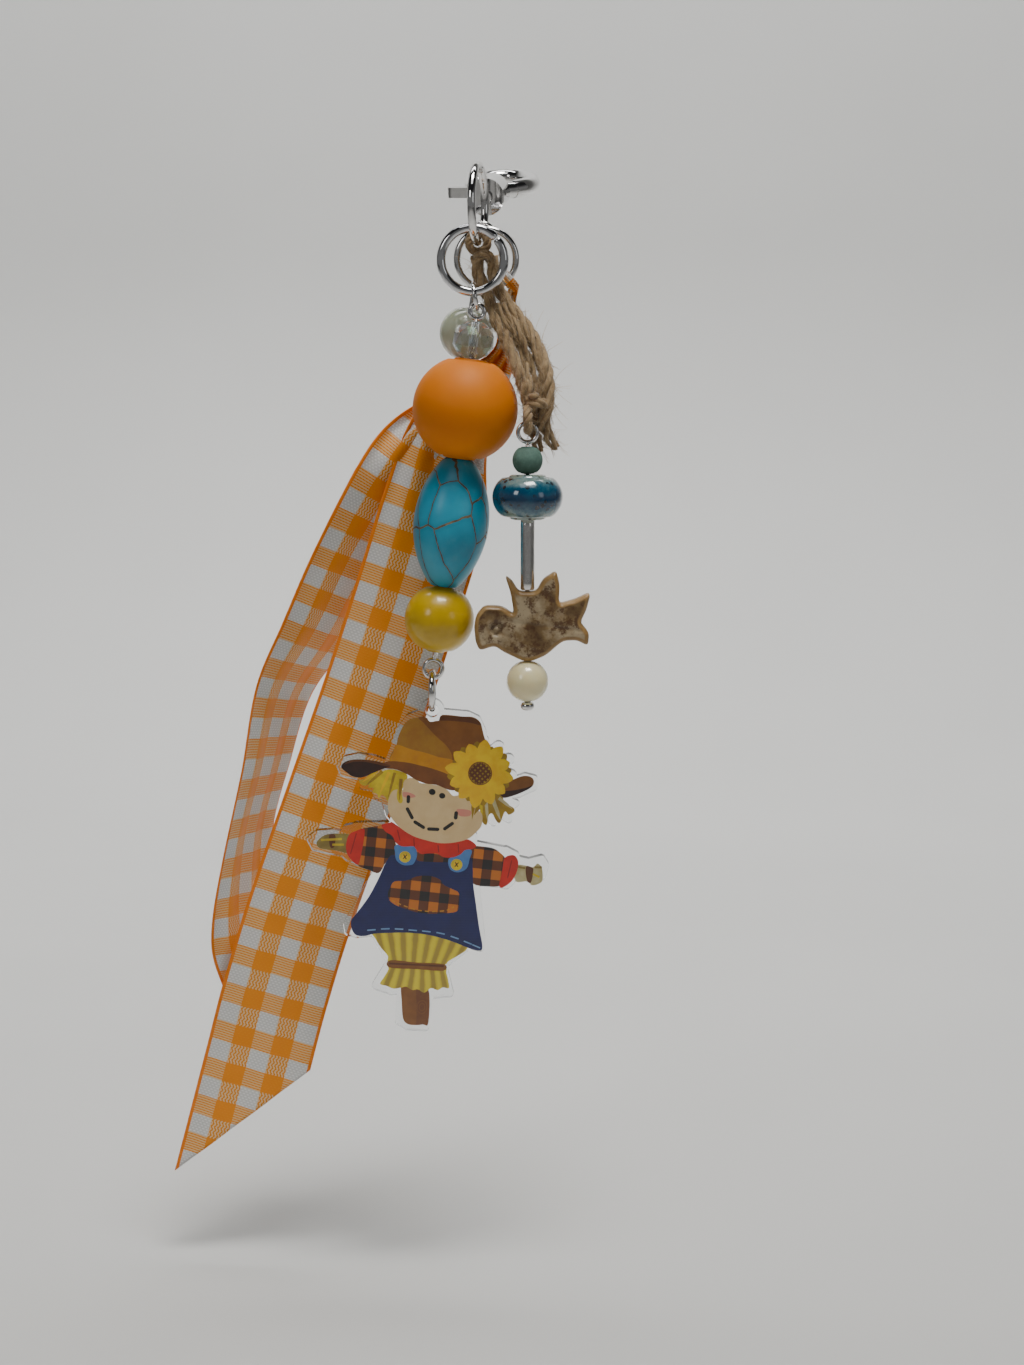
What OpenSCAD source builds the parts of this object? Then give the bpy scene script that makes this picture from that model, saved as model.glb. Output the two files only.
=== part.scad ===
// Beaded autumn bag charm. A swivel lobster clasp carries a bead strand with a flat
// scarecrow pendant, a twine dangle with a ceramic leaf, a small bead dangle and a
// gingham ribbon. The origin is the middle of the clasp's opening, +Z is up, and
// everything hangs in front of the clasp, towards -Y. Millimetres.

/* [Clasp] */
// How far the nose of the clasp tips up from level, in degrees
clasp_tilt = 12; // [8:1:16]
// How far the nose of the clasp turns towards +X, in degrees
clasp_turn = 9.5; // [7:0.5:11]
// Thickness of the round bar that the hook is bent from
hook_bar = 2.6; // [2.4:0.1:2.8]
// Angle of the lever about its rivet: 0 is shut against the nose
lever_open = 0; // [0:1:22]

/* [Rings] */
// Radius of the swivel eye, to the middle of its wire
eye_r = 5.35; // [5.2:0.05:5.5]
// Radius of the large ring that carries the strand, to the middle of its wire
big_r = 4.45; // [4.3:0.05:4.6]
// Wire radius of the large ring
big_wire = 0.65; // [0.5:0.05:0.7]

/* [Bead strand] */
// Lean of the bead strand to the left of vertical, in degrees
strand_lean = 7.2; // [5:0.1:8]
// Diameter of the orange silicone bead
orange_d = 15; // [14:0.5:15]
// Diameter of the turquoise bead across its middle
turquoise_d = 10.8; // [10:0.2:11]
// Length of the turquoise bead
turquoise_h = 18.4; // [17.4:0.2:18.4]
// Diameter of the yellow bead
yellow_d = 10; // [9:0.5:10]

/* [Scarecrow] */
// Thickness of the clear acrylic plate
plate_t = 1.6; // [1.6:0.1:2.2]
// Width of the clear border around the printed figure
plate_border = 0.5; // [0.5:0.1:0.9]
// Tilt of the figure as it hangs, in degrees
figure_tilt = 6.5; // [4:0.5:8]

/* [Leaf dangle] */
// Thickness of the ceramic leaf
leaf_t = 3; // [2.6:0.1:3]
// Diameter of the blue ceramic rondelle
rondelle_d = 10; // [9:0.5:10]

/* [Ribbon and twine] */
// Thickness of the plain solids that stand for the ribbon
ribbon_t = 0.8; // [0.6:0.1:1]
// Diameter of one strand of jute twine
twine_d = 1.9; // [1.7:0.1:1.9]

/* [Hidden] */
$fn = 48;

silver = "#c9cacd";
play = 0.05;        // between two linked wires, or a pin and its bore
ring_play = 0.2;    // between the eye and the larger rings, which cross it at a slant
eye_wire_r = 0.6;
thin = 0.3;         // wire radius of the headpins and the small ring
pin_wire = 0.35;    // wire radius of the strand's eye pin
eye_offset = 18.5;  // from the clasp's opening to the middle of the swivel eye

// ---- places, from the clasp down ----
function tipped(v) = [v[0], v[1] * cos(clasp_tilt) - v[2] * sin(clasp_tilt),
    v[1] * sin(clasp_tilt) + v[2] * cos(clasp_tilt)];
function turned(v) = [v[0] * cos(clasp_turn) + v[1] * sin(clasp_turn),
    -v[0] * sin(clasp_turn) + v[1] * cos(clasp_turn), v[2]];
function from_clasp(v) = turned(tipped(v));
eye_at = from_clasp([0, -eye_offset, 0]);
// A point of the eye's wire, at an angle behind its lowest point
function eye_wire(a) = eye_at + eye_r * [sin(a) * sin(clasp_turn), sin(a) * cos(clasp_turn), -cos(a)];
// Straight down, swung to the right by an angle
function down(a) = [sin(a), 0, -cos(a)];

big_from = eye_wire(-24);
big_at = big_from + (big_r - eye_wire_r - big_wire - ring_play) * down(-8);
ribbon_ring_r = 4.2;
ribbon_ring_wire = 0.5;
ribbon_ring_from = eye_wire(26);
ribbon_ring_at = ribbon_ring_from
    + (ribbon_ring_r - eye_wire_r - ribbon_ring_wire - ring_play) * down(15);
strand_ring_r = 1.8;
strand_ring_from = big_at + big_r * down(3);
strand_ring_lean = 10;
strand_ring_at = strand_ring_from + 0.74 * down(strand_ring_lean);
pin_from = strand_ring_at + strand_ring_r * down(strand_ring_lean);
top_loop_r = 1.0;
top_loop_at = pin_from + (top_loop_r - thin - pin_wire - play) * down(-strand_lean);

// Distances down the eye pin from the middle of its top loop
crystal_d = 6;
crystal_h = 5.2;
crystal_s = 1.45 + crystal_h / 2;
orange_h = 14.2;
orange_s = crystal_s + crystal_h / 2 + orange_h / 2;
turquoise_s = orange_s + orange_h / 2 + turquoise_h / 2;
yellow_h = 9.6;
yellow_s = turquoise_s + turquoise_h / 2 + yellow_h / 2;
low_loop_r = 1.3;
low_loop_s = yellow_s + yellow_h / 2 + 2.5;
charm_ring_r = 2.7;
charm_ring_wire = 0.45;
charm_ring_from = top_loop_at + (low_loop_s + low_loop_r) * down(-strand_lean);
charm_ring_at = charm_ring_from + (charm_ring_r - pin_wire - charm_ring_wire - play) * down(0);
charm_from = charm_ring_at + charm_ring_r * down(0);
plate_hole = 0.95;
plate_at = charm_from + 0.2 * down(0);   // the ring's curve lifts it at the plate's faces

// Leaf dangle: a headpin that hangs straight from the end of the twine
leaf_loop_r = 1.35;
twine_loop_r = 1.5;
twine_loop_wire = 0.7;
leaf_from = [4, -23.5, -35.5];
leaf_loop_at = leaf_from + (leaf_loop_r - thin - twine_loop_wire - play) * down(0);
sage_z = -39.7;
rondelle_z = -44.9;
rondelle_h = 6.4;
tube_z = -53.1;
tube_h = 10;
leaf_top = -58.3;
leaf_low = -68.2;
cream_z = -71.2;
crimp_z = -74.8;

// Short dangle with the pale bead, behind the strand
pale_from = eye_wire(45);
pale_loop_r = 1.5;
pale_bead_at = [-4.8, -12.6, -22];
pale_d = 7.8;
pale_pin_end = pale_bead_at + 4.4 * (pale_bead_at - pale_from) / norm(pale_bead_at - pale_from);

// Routes of the two strands of twine, from the tie under the eye through the knot to a loose end
route_a = [[-3.2, -18, -11.2], [-2.95, -17.9, -13.6], [-2.1, -17.7, -15.8], [-1.2, -18.1, -18],
    [-0.4, -18.9, -20.2], [0.8, -19.9, -22.6], [1.9, -20.9, -25.2], [2.8, -21.8, -27.6],
    [3.5, -22.3, -29.8], [4.2, -22.1, -32], [4.7, -21.2, -34.2], [4.9, -20.2, -36.2],
    [5.8, -18.9, -38.5]];
route_b = [[-1, -18, -11.2], [-0.8, -18.1, -13.6], [-0.1, -18.1, -15.8], [1.2, -18.3, -17.8],
    [2.8, -18.9, -19.7], [4.3, -19.9, -21.8], [5.7, -20.9, -24.4], [6.6, -21.7, -27],
    [6.95, -22.4, -29.6], [6.8, -22.7, -32.2], [6.3, -22.4, -34.4], [6.9, -21.6, -36.4],
    [8, -20.9, -38.2]];
knot_at = [5.4, -22.6, -31.8];

// Ribbon tails: [middle of the strip, half its width, lean of its width from level, twist]
front_route = [[[1.2, -13.1, -21.6], 1.2, 10, 0], [[0.6, -12.3, -25], 1.7, 20, 0],
    [[-3.2, -11.4, -30], 4, 26, 0], [[-7.2, -11.2, -36.4], 5.9, 24, 0],
    [[-9.4, -11.2, -46.6], 7.7, 20, 0], [[-12.9, -11.4, -58.5], 8, 19, 0],
    [[-18, -11.8, -74], 8, 20, 0], [[-24, -12.2, -91], 8, 19, 0],
    [[-30.2, -12.4, -108.6], 8, 17, 0], [[-34, -12.5, -121], 8, 16, 0],
    [[-36.3, -12.5, -129.6], 8, 16, 0]];
front_tip = [-51.2, -12.5, -147.4];
back_route = [[[-1.2, -10.2, -30.8], 4.4, 30, 0], [[-9.5, -9.9, -38.1], 6.8, 38, 0],
    [[-14.85, -9.4, -45.2], 8, 34, 25], [[-20.3, -8.8, -54.3], 8, 26, 38],
    [[-27.4, -7.6, -66], 8, 28, 52], [[-32.7, -6.9, -75], 8, 22, 62],
    [[-35.4, -7.2, -87.2], 8, 12, 67], [[-37.75, -7.6, -99.5], 8, 9, 69],
    [[-38.4, -8.6, -112], 8, 6, 55], [[-36.3, -9.4, -120.5], 8, 2, 40]];

// ---- shared shapes ----
// The least turn that takes +Z to a direction
module along(d) {
    rotate([0, acos(d[2] / norm(d)), atan2(d[1], d[0])]) rotate([0, 0, -atan2(d[1], d[0])]) children();
}

module torus(r, wire) {
    rotate_extrude() translate([r, 0]) circle(wire, $fn = 24);
}

// A ring seen face on from the front (its axis along Y)
module face_ring(at, r, wire) {
    translate(at) rotate([90, 0, 0]) torus(r, wire);
}

// A ring seen edge on from the front (its axis along X), leaning with the strand
module edge_ring(at, r, wire, lean) {
    translate(at) rotate([0, -lean, 0]) rotate([0, 90, 0]) torus(r, wire);
}

// Things threaded on the eye pin, s millimetres below its top loop, with +Z up the pin
module on_strand(s) {
    translate(top_loop_at + s * down(-strand_lean)) rotate([0, strand_lean, 0]) children();
}

// Things threaded on the leaf dangle's headpin, at a height z
module on_leaf_pin(z) {
    translate([leaf_from[0], leaf_from[1], z]) children();
}

module on_pale_pin(at) {
    translate(at) along(pale_from - pale_bead_at) children();
}

module bore(h, wire) {
    cylinder(h = h + 2, r = wire + play, center = true, $fn = 24);
}

// A ball or an oval with flat ends, of length h, drilled along Z
module bead(d, h, ball, wire) {
    difference() {
        rotate_extrude() intersection() {
            translate([d / 2 - ball, 0]) circle(ball);
            translate([0, -h / 2]) square([d, h]);
        }
        bore(h, wire);
    }
}

// A strip of cloth as a closed solid, from sections [middle, half width, lean, twist]
function across(s) = s[1] * [cos(s[2]) * cos(s[3]), sin(s[3]), -sin(s[2]) * cos(s[3])];
function through(s) = ribbon_t / 2 * [cos(s[2]) * sin(s[3]), -cos(s[3]), -sin(s[2]) * sin(s[3])];
module strip(sections, tip = undef) {
    n = len(sections);
    body = [for (s = sections) each [s[0] - across(s) + through(s), s[0] + across(s) + through(s),
        s[0] + across(s) - through(s), s[0] - across(s) - through(s)]];
    ends = tip == undef ? [] : [tip + through(sections[n - 1]), tip - through(sections[n - 1])];
    last = 4 * (n - 1);
    sides = [for (i = [0 : n - 2], k = [0 : 3], h = [0, 1])
        let (a = 4 * i + k, b = 4 * i + (k + 1) % 4)
        h == 0 ? [a, b, b + 4] : [a, b + 4, a + 4]];
    cap = tip == undef ? [[last, last + 1, last + 2], [last, last + 2, last + 3]]
        : [[last, last + 1, 4 * n], [last + 3, 4 * n + 1, last + 2],
            [last + 1, last + 2, 4 * n + 1], [last + 1, 4 * n + 1, 4 * n],
            [last + 3, last, 4 * n], [last + 3, 4 * n, 4 * n + 1]];
    polyhedron(concat(body, ends), concat([[0, 2, 1], [0, 3, 2]], sides, cap));
}

// A round tube along a route, as one closed solid with eight sides
function unit(v) = v / norm(v);
function heading(p, i) = unit(p[min(i + 1, len(p) - 1)] - p[max(i - 1, 0)]);
module tube(p, r) {
    n = len(p);
    points = [for (i = [0 : n - 1])
        let (t = heading(p, i), u = unit(cross([0, 1, 0], t)), v = cross(t, u))
        for (k = [0 : 7]) p[i] + r * (cos(45 * k) * u + sin(45 * k) * v)];
    sides = [for (i = [0 : n - 2], k = [0 : 7], h = [0, 1])
        let (a = 8 * i + k, b = 8 * i + (k + 1) % 8)
        h == 0 ? [a, b + 8, b] : [a, a + 8, b + 8]];
    polyhedron(points, concat([[for (k = [0 : 7]) k]], sides,
        [[for (k = [7 : -1 : 0]) 8 * (n - 1) + k]]));
}

// ---- clasp ----
module in_clasp() {
    rotate([clasp_tilt, 0, -clasp_turn]) children();
}

// The hook's bar is three arcs
side_r = 8.6;
end_r = 3.6;
turn_at = [-4 + (side_r - end_r) * cos(38), (side_r - end_r) * sin(38)];
// each: middle, radius, first angle, sweep, and how much thinner than the bar; the thinner
// arcs start inside the side's
side_arc = [[-4, 0], side_r, -38, 76, 0];
nose_arc = [turn_at, end_r, 35, 137, 0.08];
root_arc = [[turn_at[0], -turn_at[1]], end_r, -100, 65, 0.08];
rivet_at = [-2.2, -7.3];
barrel_r = 2.7;
post_r = 0.95;
head_r = 1.6;
barrel_front = -12.4;
barrel_back = -7;
chamber = [-11.4, -9.6];   // where the post's head turns, along the clasp
lever_t = 1.5;
lever_reach = 11.1;        // from the rivet to the lever's tip

module hook_arc(a) {
    translate([a[0][0], a[0][1], 0]) rotate([0, 0, a[2]])
        rotate_extrude(angle = a[3]) translate([a[1], 0]) circle(hook_bar / 2 - a[4], $fn = 24);
}

module clasp_body() {
    color(silver) in_clasp() difference() {
        union() {
            hook_arc(side_arc);
            difference() {
                hook_arc(nose_arc);
                // the nose ends just clear of the lever's tip
                intersection() {
                    translate([rivet_at[0], rivet_at[1], 0])
                        cylinder(h = 5, r = lever_reach + 0.1, center = true);
                    translate([-8, -5, -4]) cube([6.6, 14, 8]);
                }
            }
            hook_arc(root_arc);
            translate([0, barrel_front, 0]) rotate([-90, 0, 0])
                cylinder(h = barrel_back - barrel_front, r = barrel_r);
            translate([-3.4, -8.6, -hook_bar / 2]) cube([4.4, 2.9, hook_bar]);
        }
        // bore and chamber of the swivel post
        translate([0, barrel_front - 1, 0]) rotate([-90, 0, 0])
            cylinder(h = 3, r = post_r + play, $fn = 24);
        translate([0, chamber[0], 0]) rotate([-90, 0, 0])
            cylinder(h = chamber[1] - chamber[0], r = head_r + play + 0.1);
        // slot for the lever, and the rivet's hole through both of its cheeks
        translate([-12, -9.3, -lever_t / 2 - play]) cube([11.6, 5, lever_t + 2 * play]);
        translate([rivet_at[0], rivet_at[1], -5]) cylinder(h = 10, r = 0.5, $fn = 24);
    }
}

module lever_rivet() {
    color("#b8babd") in_clasp() translate([rivet_at[0], rivet_at[1], 0])
        cylinder(h = 2 * barrel_r - 1.2, r = 0.5, center = true, $fn = 24);
}

// The lever: a gate that shuts inside the nose, a hub on the rivet and a thumb tab
module clasp_lever() {
    color(silver) in_clasp() translate([rivet_at[0], rivet_at[1], 0]) rotate([0, 0, -lever_open])
        difference() {
            union() {
                cylinder(h = lever_t, r = 1.15, center = true);
                intersection() {
                    cylinder(h = 5, r = lever_reach, center = true);
                    translate([0, 0, -lever_t / 2]) linear_extrude(lever_t)
                        polygon([[-1.1, 0.2], [-2.3, 3.2], [-2.5, 6.6], [-2.2, 12], [-0.2, 12],
                            [-0.7, 6.6], [-0.5, 3.6], [1, 0.6]]);
                }
                translate([-3.3, -0.8, -lever_t / 2]) cube([2.7, 1.5, lever_t]);
                translate([-3.5, -0.05, 0]) cylinder(h = lever_t, r = 0.75, center = true);
                translate([-3.5, -0.8, -lever_t / 2]) cube([0.6, 1.5, lever_t]);
            }
            cylinder(h = 5, r = 0.55, center = true, $fn = 24);
        }
}

// Closing spring, in the slot between the lever's hub and the barrel
module lever_spring() {
    color("#9a9ca0") in_clasp() translate([-2.9, -8.88, 0]) rotate([0, 90, 0])
        rotate_extrude() for (k = [0 : 8]) translate([0.3, 0.22 * k]) circle(0.12, $fn = 16);
}

module swivel_eye() {
    color(silver) in_clasp() {
        translate([0, -eye_offset, 0]) rotate([0, 90, 0]) torus(eye_r, eye_wire_r);
        translate([0, eye_r - eye_offset - 0.1, 0]) rotate([-90, 0, 0])
            cylinder(h = chamber[0] + 0.1 - eye_r + eye_offset + 0.3, r = post_r, $fn = 24);
        translate([0, chamber[0] + 0.15, 0]) rotate([-90, 0, 0])
            cylinder(h = chamber[1] - chamber[0] - 0.3, r = head_r, $fn = 24);
    }
}

// ---- rings ----
module big_ring() {
    color("#bfc1c4") face_ring(big_at, big_r, big_wire);
}

module ribbon_ring() {
    color("#bfc1c4") face_ring(ribbon_ring_at, ribbon_ring_r, ribbon_ring_wire);
}

module strand_ring() {
    color(silver) edge_ring(strand_ring_at, strand_ring_r, thin, strand_ring_lean);
}

module charm_ring() {
    color(silver) edge_ring(charm_ring_at, charm_ring_r, charm_ring_wire, 0);
}

// ---- bead strand ----
module strand_pin() {
    color(silver) {
        face_ring(top_loop_at, top_loop_r, pin_wire);
        on_strand(low_loop_s) rotate([90, 0, 0]) torus(low_loop_r, pin_wire);
        on_strand(low_loop_s - low_loop_r)
            cylinder(h = low_loop_s - low_loop_r - top_loop_r, r = pin_wire, $fn = 24);
    }
}

// A cut crystal: a ball with rings of flat facets
module crystal_bead() {
    facets = 10;
    levels = [[-0.5, 0.45], [-0.3, 0.84], [0, 1], [0.3, 0.84], [0.5, 0.45]];
    color("#dfe3ea", 0.6) on_strand(crystal_s) difference() {
        polyhedron(
            [for (l = levels, k = [0 : facets - 1])
                let (a = 360 * (k + (abs(l[0]) == 0.3 ? 0.5 : 0)) / facets)
                [l[1] * crystal_d / 2 * cos(a), l[1] * crystal_d / 2 * sin(a), l[0] * crystal_h]],
            concat([[for (k = [0 : facets - 1]) k]],
                [for (i = [0 : 3], k = [0 : facets - 1], h = [0, 1])
                    let (a = facets * i + k, b = facets * i + (k + 1) % facets, odd = i % 2)
                    odd == 0
                        ? (h == 0 ? [a, a + facets, b] : [b, a + facets, b + facets])
                        : (h == 0 ? [a, b + facets, b] : [a, a + facets, b + facets])],
                [[for (k = [facets - 1 : -1 : 0]) 4 * facets + k]]));
        bore(crystal_h, pin_wire);
    }
}

module orange_bead() {
    color("#f39a2e") on_strand(orange_s) bead(orange_d, orange_h, orange_d / 2, pin_wire);
}

module turquoise_bead() {
    // an arc through both ends and the middle of the oval
    end_r = 2;
    ball = (pow(turquoise_h / 2, 2) + pow(turquoise_d / 2 - end_r, 2)) / (turquoise_d - 2 * end_r);
    color("#3fb3c9") on_strand(turquoise_s) bead(turquoise_d, turquoise_h, ball, pin_wire);
}

module yellow_bead() {
    color("#d8b400") on_strand(yellow_s) bead(yellow_d, yellow_h, yellow_d / 2, pin_wire);
}

// ---- scarecrow pendant ----
// Outlines of the upright figure, in X and Z, about the hanging hole
crown = [[-5.7, -8.6], [-4.8, -5.6], [-4.3, -3.3], [-3.2, -1.4], [-1.5, -0.5], [1.5, -0.1], [5.1, 0],
    [6.6, -0.5], [7.6, -2.2], [8.2, -4.4], [9.6, -10], [9.2, -11.6], [4.1, -11.2], [-2, -10.4]];
brims = [[[-12.4, -9.5], [-11.6, -8.5], [-9.8, -7.9], [-7.6, -8], [-5.5, -8.5], [-5, -9.6], [-7.7, -9.7],
        [-9.9, -10.8], [-11.8, -10.6]],
    [[9.4, -10.5], [12.2, -9.2], [14.4, -8.1], [15.8, -8.3], [15.9, -9.5], [13.8, -10.8], [11.5, -11.3], [9, -11.6]]];
hair = [[[-9.9, -9.9], [-7.4, -9.2], [-3, -9.6], [-2.6, -13.4], [-4.4, -14.1], [-5.2, -13.3], [-6.5, -13.5],
        [-7.1, -12.3], [-8.8, -12.2], [-8.3, -11.2], [-10, -10.7]],
    [[7, -11], [11.2, -11], [12.2, -11.8], [13.6, -12.2], [12.6, -13.2], [12.8, -14.7], [11.3, -14], [10.6, -15.4],
        [9.4, -14.4], [8.2, -15.4], [7, -14]]];
face = [[-5.3, -12], [-5.4, -13.9], [-4.6, -15.9], [-3, -17.5], [-0.6, -18.6], [2, -19.1], [4.6, -18.9],
    [6.9, -17.8], [8.3, -16], [8.8, -13.9], [8.4, -12], [6, -10.4], [-3.5, -9.8]];
sleeves = [[[-9.2, -18.1], [-3.5, -17.3], [-2.6, -19], [-3.4, -24.2], [-8.4, -23.4], [-9.6, -21]],
    [[7.2, -18.8], [13.1, -19.3], [13.4, -22], [13.1, -24.3], [8, -24.6], [6.6, -21]]];
cuffs = [[[-8.9, -18.1], [-10.6, -18.7], [-11.3, -20.2], [-11, -22], [-9.8, -23], [-8, -23.3]],
    [[12.9, -19.2], [14.4, -19.8], [15, -21.3], [14.6, -23.2], [13.6, -24.5], [12.7, -24.4]]];
hands = [[[-10.8, -19.6], [-12.5, -19.5], [-14.6, -19.9], [-15.6, -20.8], [-14.8, -22], [-12.6, -22.2], [-10.6, -22.4]],
    [[14.6, -20.4], [16.4, -20.6], [18.2, -19.9], [18.9, -20.8], [18.6, -22.6], [17.4, -23.3], [16, -22.8], [14.5, -23.2]]];
dress = [[-4.3, -21.6], [-3.4, -17], [8, -17.6], [8.6, -22], [9.3, -25.6], [10.9, -33], [10.9, -34.2], [9.6, -34],
    [6.6, -33.2], [2.8, -32.6], [-2, -33.2], [-7.4, -34.2], [-8.7, -34], [-9, -32.8], [-6.8, -27.6]];
straw = [[-5.4, -33], [8.8, -33.4], [8.6, -34.6], [6, -37.2], [6, -38.2], [7.2, -41.5], [4.5, -42.1], [1, -41.8],
    [-1.5, -42.2], [-3.9, -41.6], [-2.4, -38.3], [-2.4, -37.4]];
post = [[-0.1, -41.4], [4.3, -41.4], [4.2, -47], [1.4, -47.2], [0.1, -46.6]];

module flower_shape() {
    translate([7.8, -8.2]) {
        circle(3.4);
        for (k = [0 : 11]) rotate(30 * k) hull() {
            translate([2.4, 0]) circle(0.9);
            translate([4.6, 0]) circle(0.35);
        }
    }
}

module figure_shape() {
    for (outline = concat(brims, hair, sleeves, cuffs, hands, [crown, face, dress, straw, post]))
        polygon(outline);
    flower_shape();
}

// Into the pendant's place: a flat shape in X and Z, with its front at y0
module pendant(y0, t) {
    translate(plate_at) rotate([0, figure_tilt, 0])
        translate([0, y0, 0]) rotate([90, 0, 0]) linear_extrude(t) children();
}

module scarecrow_plate() {
    color("#e8eef2", 0.6) difference() {
        pendant(plate_t / 2, plate_t) {
            offset(r = plate_border, $fn = 16) figure_shape($fn = 24);
            circle(1.75);
        }
        translate(plate_at) rotate([90, 0, 0]) cylinder(h = 10, r = plate_hole, center = true, $fn = 24);
    }
}

module scarecrow_print() {
    color("#2b3a67") difference() {
        pendant(-plate_t / 2, 0.1) figure_shape($fn = 24);
        translate(plate_at) rotate([90, 0, 0]) cylinder(h = 10, r = plate_hole + 0.6, center = true, $fn = 24);
    }
}

// ---- twine and leaf dangle ----
module twine_wrap() {
    color("#c2a06a") {
        translate(eye_wire(0)) rotate([0, 0, -clasp_turn]) rotate([90, 0, 0]) torus(1.36, 0.7);
        translate([-2.1, -17.9, -11.6]) sphere(1.55);
    }
}

module twine_strand_a() {
    color("#b8955e") tube(route_a, twine_d / 2);
}

module twine_strand_b() {
    color("#c9a873") tube(route_b, twine_d / 2);
}

module twine_knot() {
    color("#c2a06a") {
        translate(leaf_from - twine_loop_r * down(0)) rotate([0, 90, 0])
            torus(twine_loop_r, twine_loop_wire);
        translate(knot_at) sphere(1.9);
    }
}

module leaf_pin() {
    pin_h = leaf_loop_at[2] - leaf_loop_r - crimp_z + 0.6;
    color(silver) {
        face_ring(leaf_loop_at, leaf_loop_r, thin);
        on_leaf_pin(leaf_loop_at[2] - leaf_loop_r - pin_h) cylinder(h = pin_h, r = thin, $fn = 24);
    }
}

module sage_bead() {
    color("#86aaa0") on_leaf_pin(sage_z) bead(4.3, 3.8, 2.15, thin);
}

module rondelle_bead() {
    color("#2f6f8f") on_leaf_pin(rondelle_z) bead(rondelle_d, rondelle_h, rondelle_h / 2 + 0.15, thin);
}

module tube_bead() {
    color(silver) on_leaf_pin(tube_z) difference() {
        cylinder(h = tube_h, r = 1, center = true);
        bore(tube_h, thin);
    }
}

// Outline of the leaf about its headpin: stem to the left, four lobes to the right
leaf_outline = [[-7.2, -61.5], [-6.1, -60.3], [-3.6, -60.4], [-1.9, -61.6], [-2.4, -58.4], [-3.2, -56],
    [-2.2, -56.7], [-1.25, leaf_top], [1.25, leaf_top], [2.2, -56.5], [4.1, -55.3], [4.6, -57.4], [4.4, -60.1],
    [6.8, -59.4], [9, -58.4], [8.4, -60.8], [7.5, -62.7], [8.8, -64.2], [8.6, -66], [7, -65.2],
    [5, -65.3], [2.6, -67.4], [0.6, leaf_low], [-0.6, leaf_low], [-3.2, -67], [-4.7, -66], [-6.8, -66.7], [-7.4, -65.4],
    [-7.6, -63]];
module leaf_bead() {
    color("#a98c66") on_leaf_pin(0) difference() {
        translate([0, leaf_t / 2, 0]) rotate([90, 0, 0]) linear_extrude(leaf_t) polygon(leaf_outline);
        translate([0, 0, (leaf_top + leaf_low) / 2]) bore(leaf_top - leaf_low, thin);
        translate([-4.4, -leaf_t / 2 - 0.5, -63.6]) rotate([90, 0, 0])
            cylinder(h = 2, r = 0.85, center = true, $fn = 24);
    }
}

module cream_bead() {
    color("#efe8c8") on_leaf_pin(cream_z) bead(6, 5.9, 3, thin);
}

module end_crimp() {
    color(silver) on_leaf_pin(crimp_z) difference() {
        cylinder(h = 1.2, r = 1, center = true);
        cylinder(h = 3, r = thin, center = true, $fn = 24);
    }
}

// ---- pale bead dangle ----
module pale_pin() {
    color(silver) {
        loop_at = pale_from + 0.2 * unit(pale_bead_at - pale_from);
        on_pale_pin(loop_at) rotate([90, 0, 0]) torus(pale_loop_r, thin);
        on_pale_pin(pale_pin_end)
            cylinder(h = norm(pale_pin_end - loop_at) - pale_loop_r, r = thin, $fn = 24);
        on_pale_pin(pale_pin_end) sphere(0.6, $fn = 24);
    }
}

module pale_bead() {
    color("#c3cdb8") on_pale_pin(pale_bead_at) bead(pale_d, 7.4, pale_d / 2, thin);
}

// ---- ribbon ----
ribbon_loop_at = ribbon_ring_at + ribbon_ring_r * down(45);
module ribbon_gather() {
    color("#e98a24") {
        translate(ribbon_loop_at) rotate([0, -45, 0]) rotate([0, 90, 0]) torus(0.97, 0.42);
        hull() {
            translate(ribbon_loop_at + [0.6, 0.8, -0.6]) sphere(0.42, $fn = 32);
            translate([1.3, -13.8, -18.4]) sphere(0.9, $fn = 32);
        }
        hull() {
            translate([1.3, -13.8, -18.4]) sphere(0.9, $fn = 32);
            translate([1.2, -13.1, -21.3]) rotate([0, 10, 0]) cube([2.4, 0.8, 0.6], center = true);
        }
    }
}

module ribbon_front() {
    color("#f0a040") strip(front_route, front_tip);
}

module ribbon_back() {
    color("#f4c080") strip(back_route);
}

clasp_body();
lever_rivet();
lever_spring();
clasp_lever();
swivel_eye();
big_ring();
strand_ring();
strand_pin();
crystal_bead();
orange_bead();
turquoise_bead();
yellow_bead();
charm_ring();
scarecrow_plate();
scarecrow_print();
twine_wrap();
twine_strand_a();
twine_strand_b();
twine_knot();
leaf_pin();
sage_bead();
rondelle_bead();
tube_bead();
leaf_bead();
cream_bead();
end_crimp();
pale_pin();
pale_bead();
ribbon_ring();
ribbon_gather();
ribbon_front();
ribbon_back();
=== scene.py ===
import random
from math import cos, exp, pi, radians, sin, sqrt

import bmesh
import bpy
from mathutils import Matrix, Vector, noise
from mathutils.geometry import delaunay_2d_cdt


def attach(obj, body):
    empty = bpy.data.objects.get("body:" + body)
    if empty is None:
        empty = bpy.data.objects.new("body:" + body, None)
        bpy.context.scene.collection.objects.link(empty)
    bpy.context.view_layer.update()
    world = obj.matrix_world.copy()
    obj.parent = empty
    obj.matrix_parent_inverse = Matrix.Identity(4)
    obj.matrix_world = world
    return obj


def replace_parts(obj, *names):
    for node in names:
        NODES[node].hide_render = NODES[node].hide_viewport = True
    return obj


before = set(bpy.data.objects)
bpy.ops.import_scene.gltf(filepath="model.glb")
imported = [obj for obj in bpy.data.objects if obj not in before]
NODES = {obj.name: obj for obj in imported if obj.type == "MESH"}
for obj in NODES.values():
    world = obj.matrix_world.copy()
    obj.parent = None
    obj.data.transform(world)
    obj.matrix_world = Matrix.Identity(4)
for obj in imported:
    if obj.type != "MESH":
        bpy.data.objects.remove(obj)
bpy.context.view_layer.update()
MM = 0.001
TAU = 2 * pi


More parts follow.
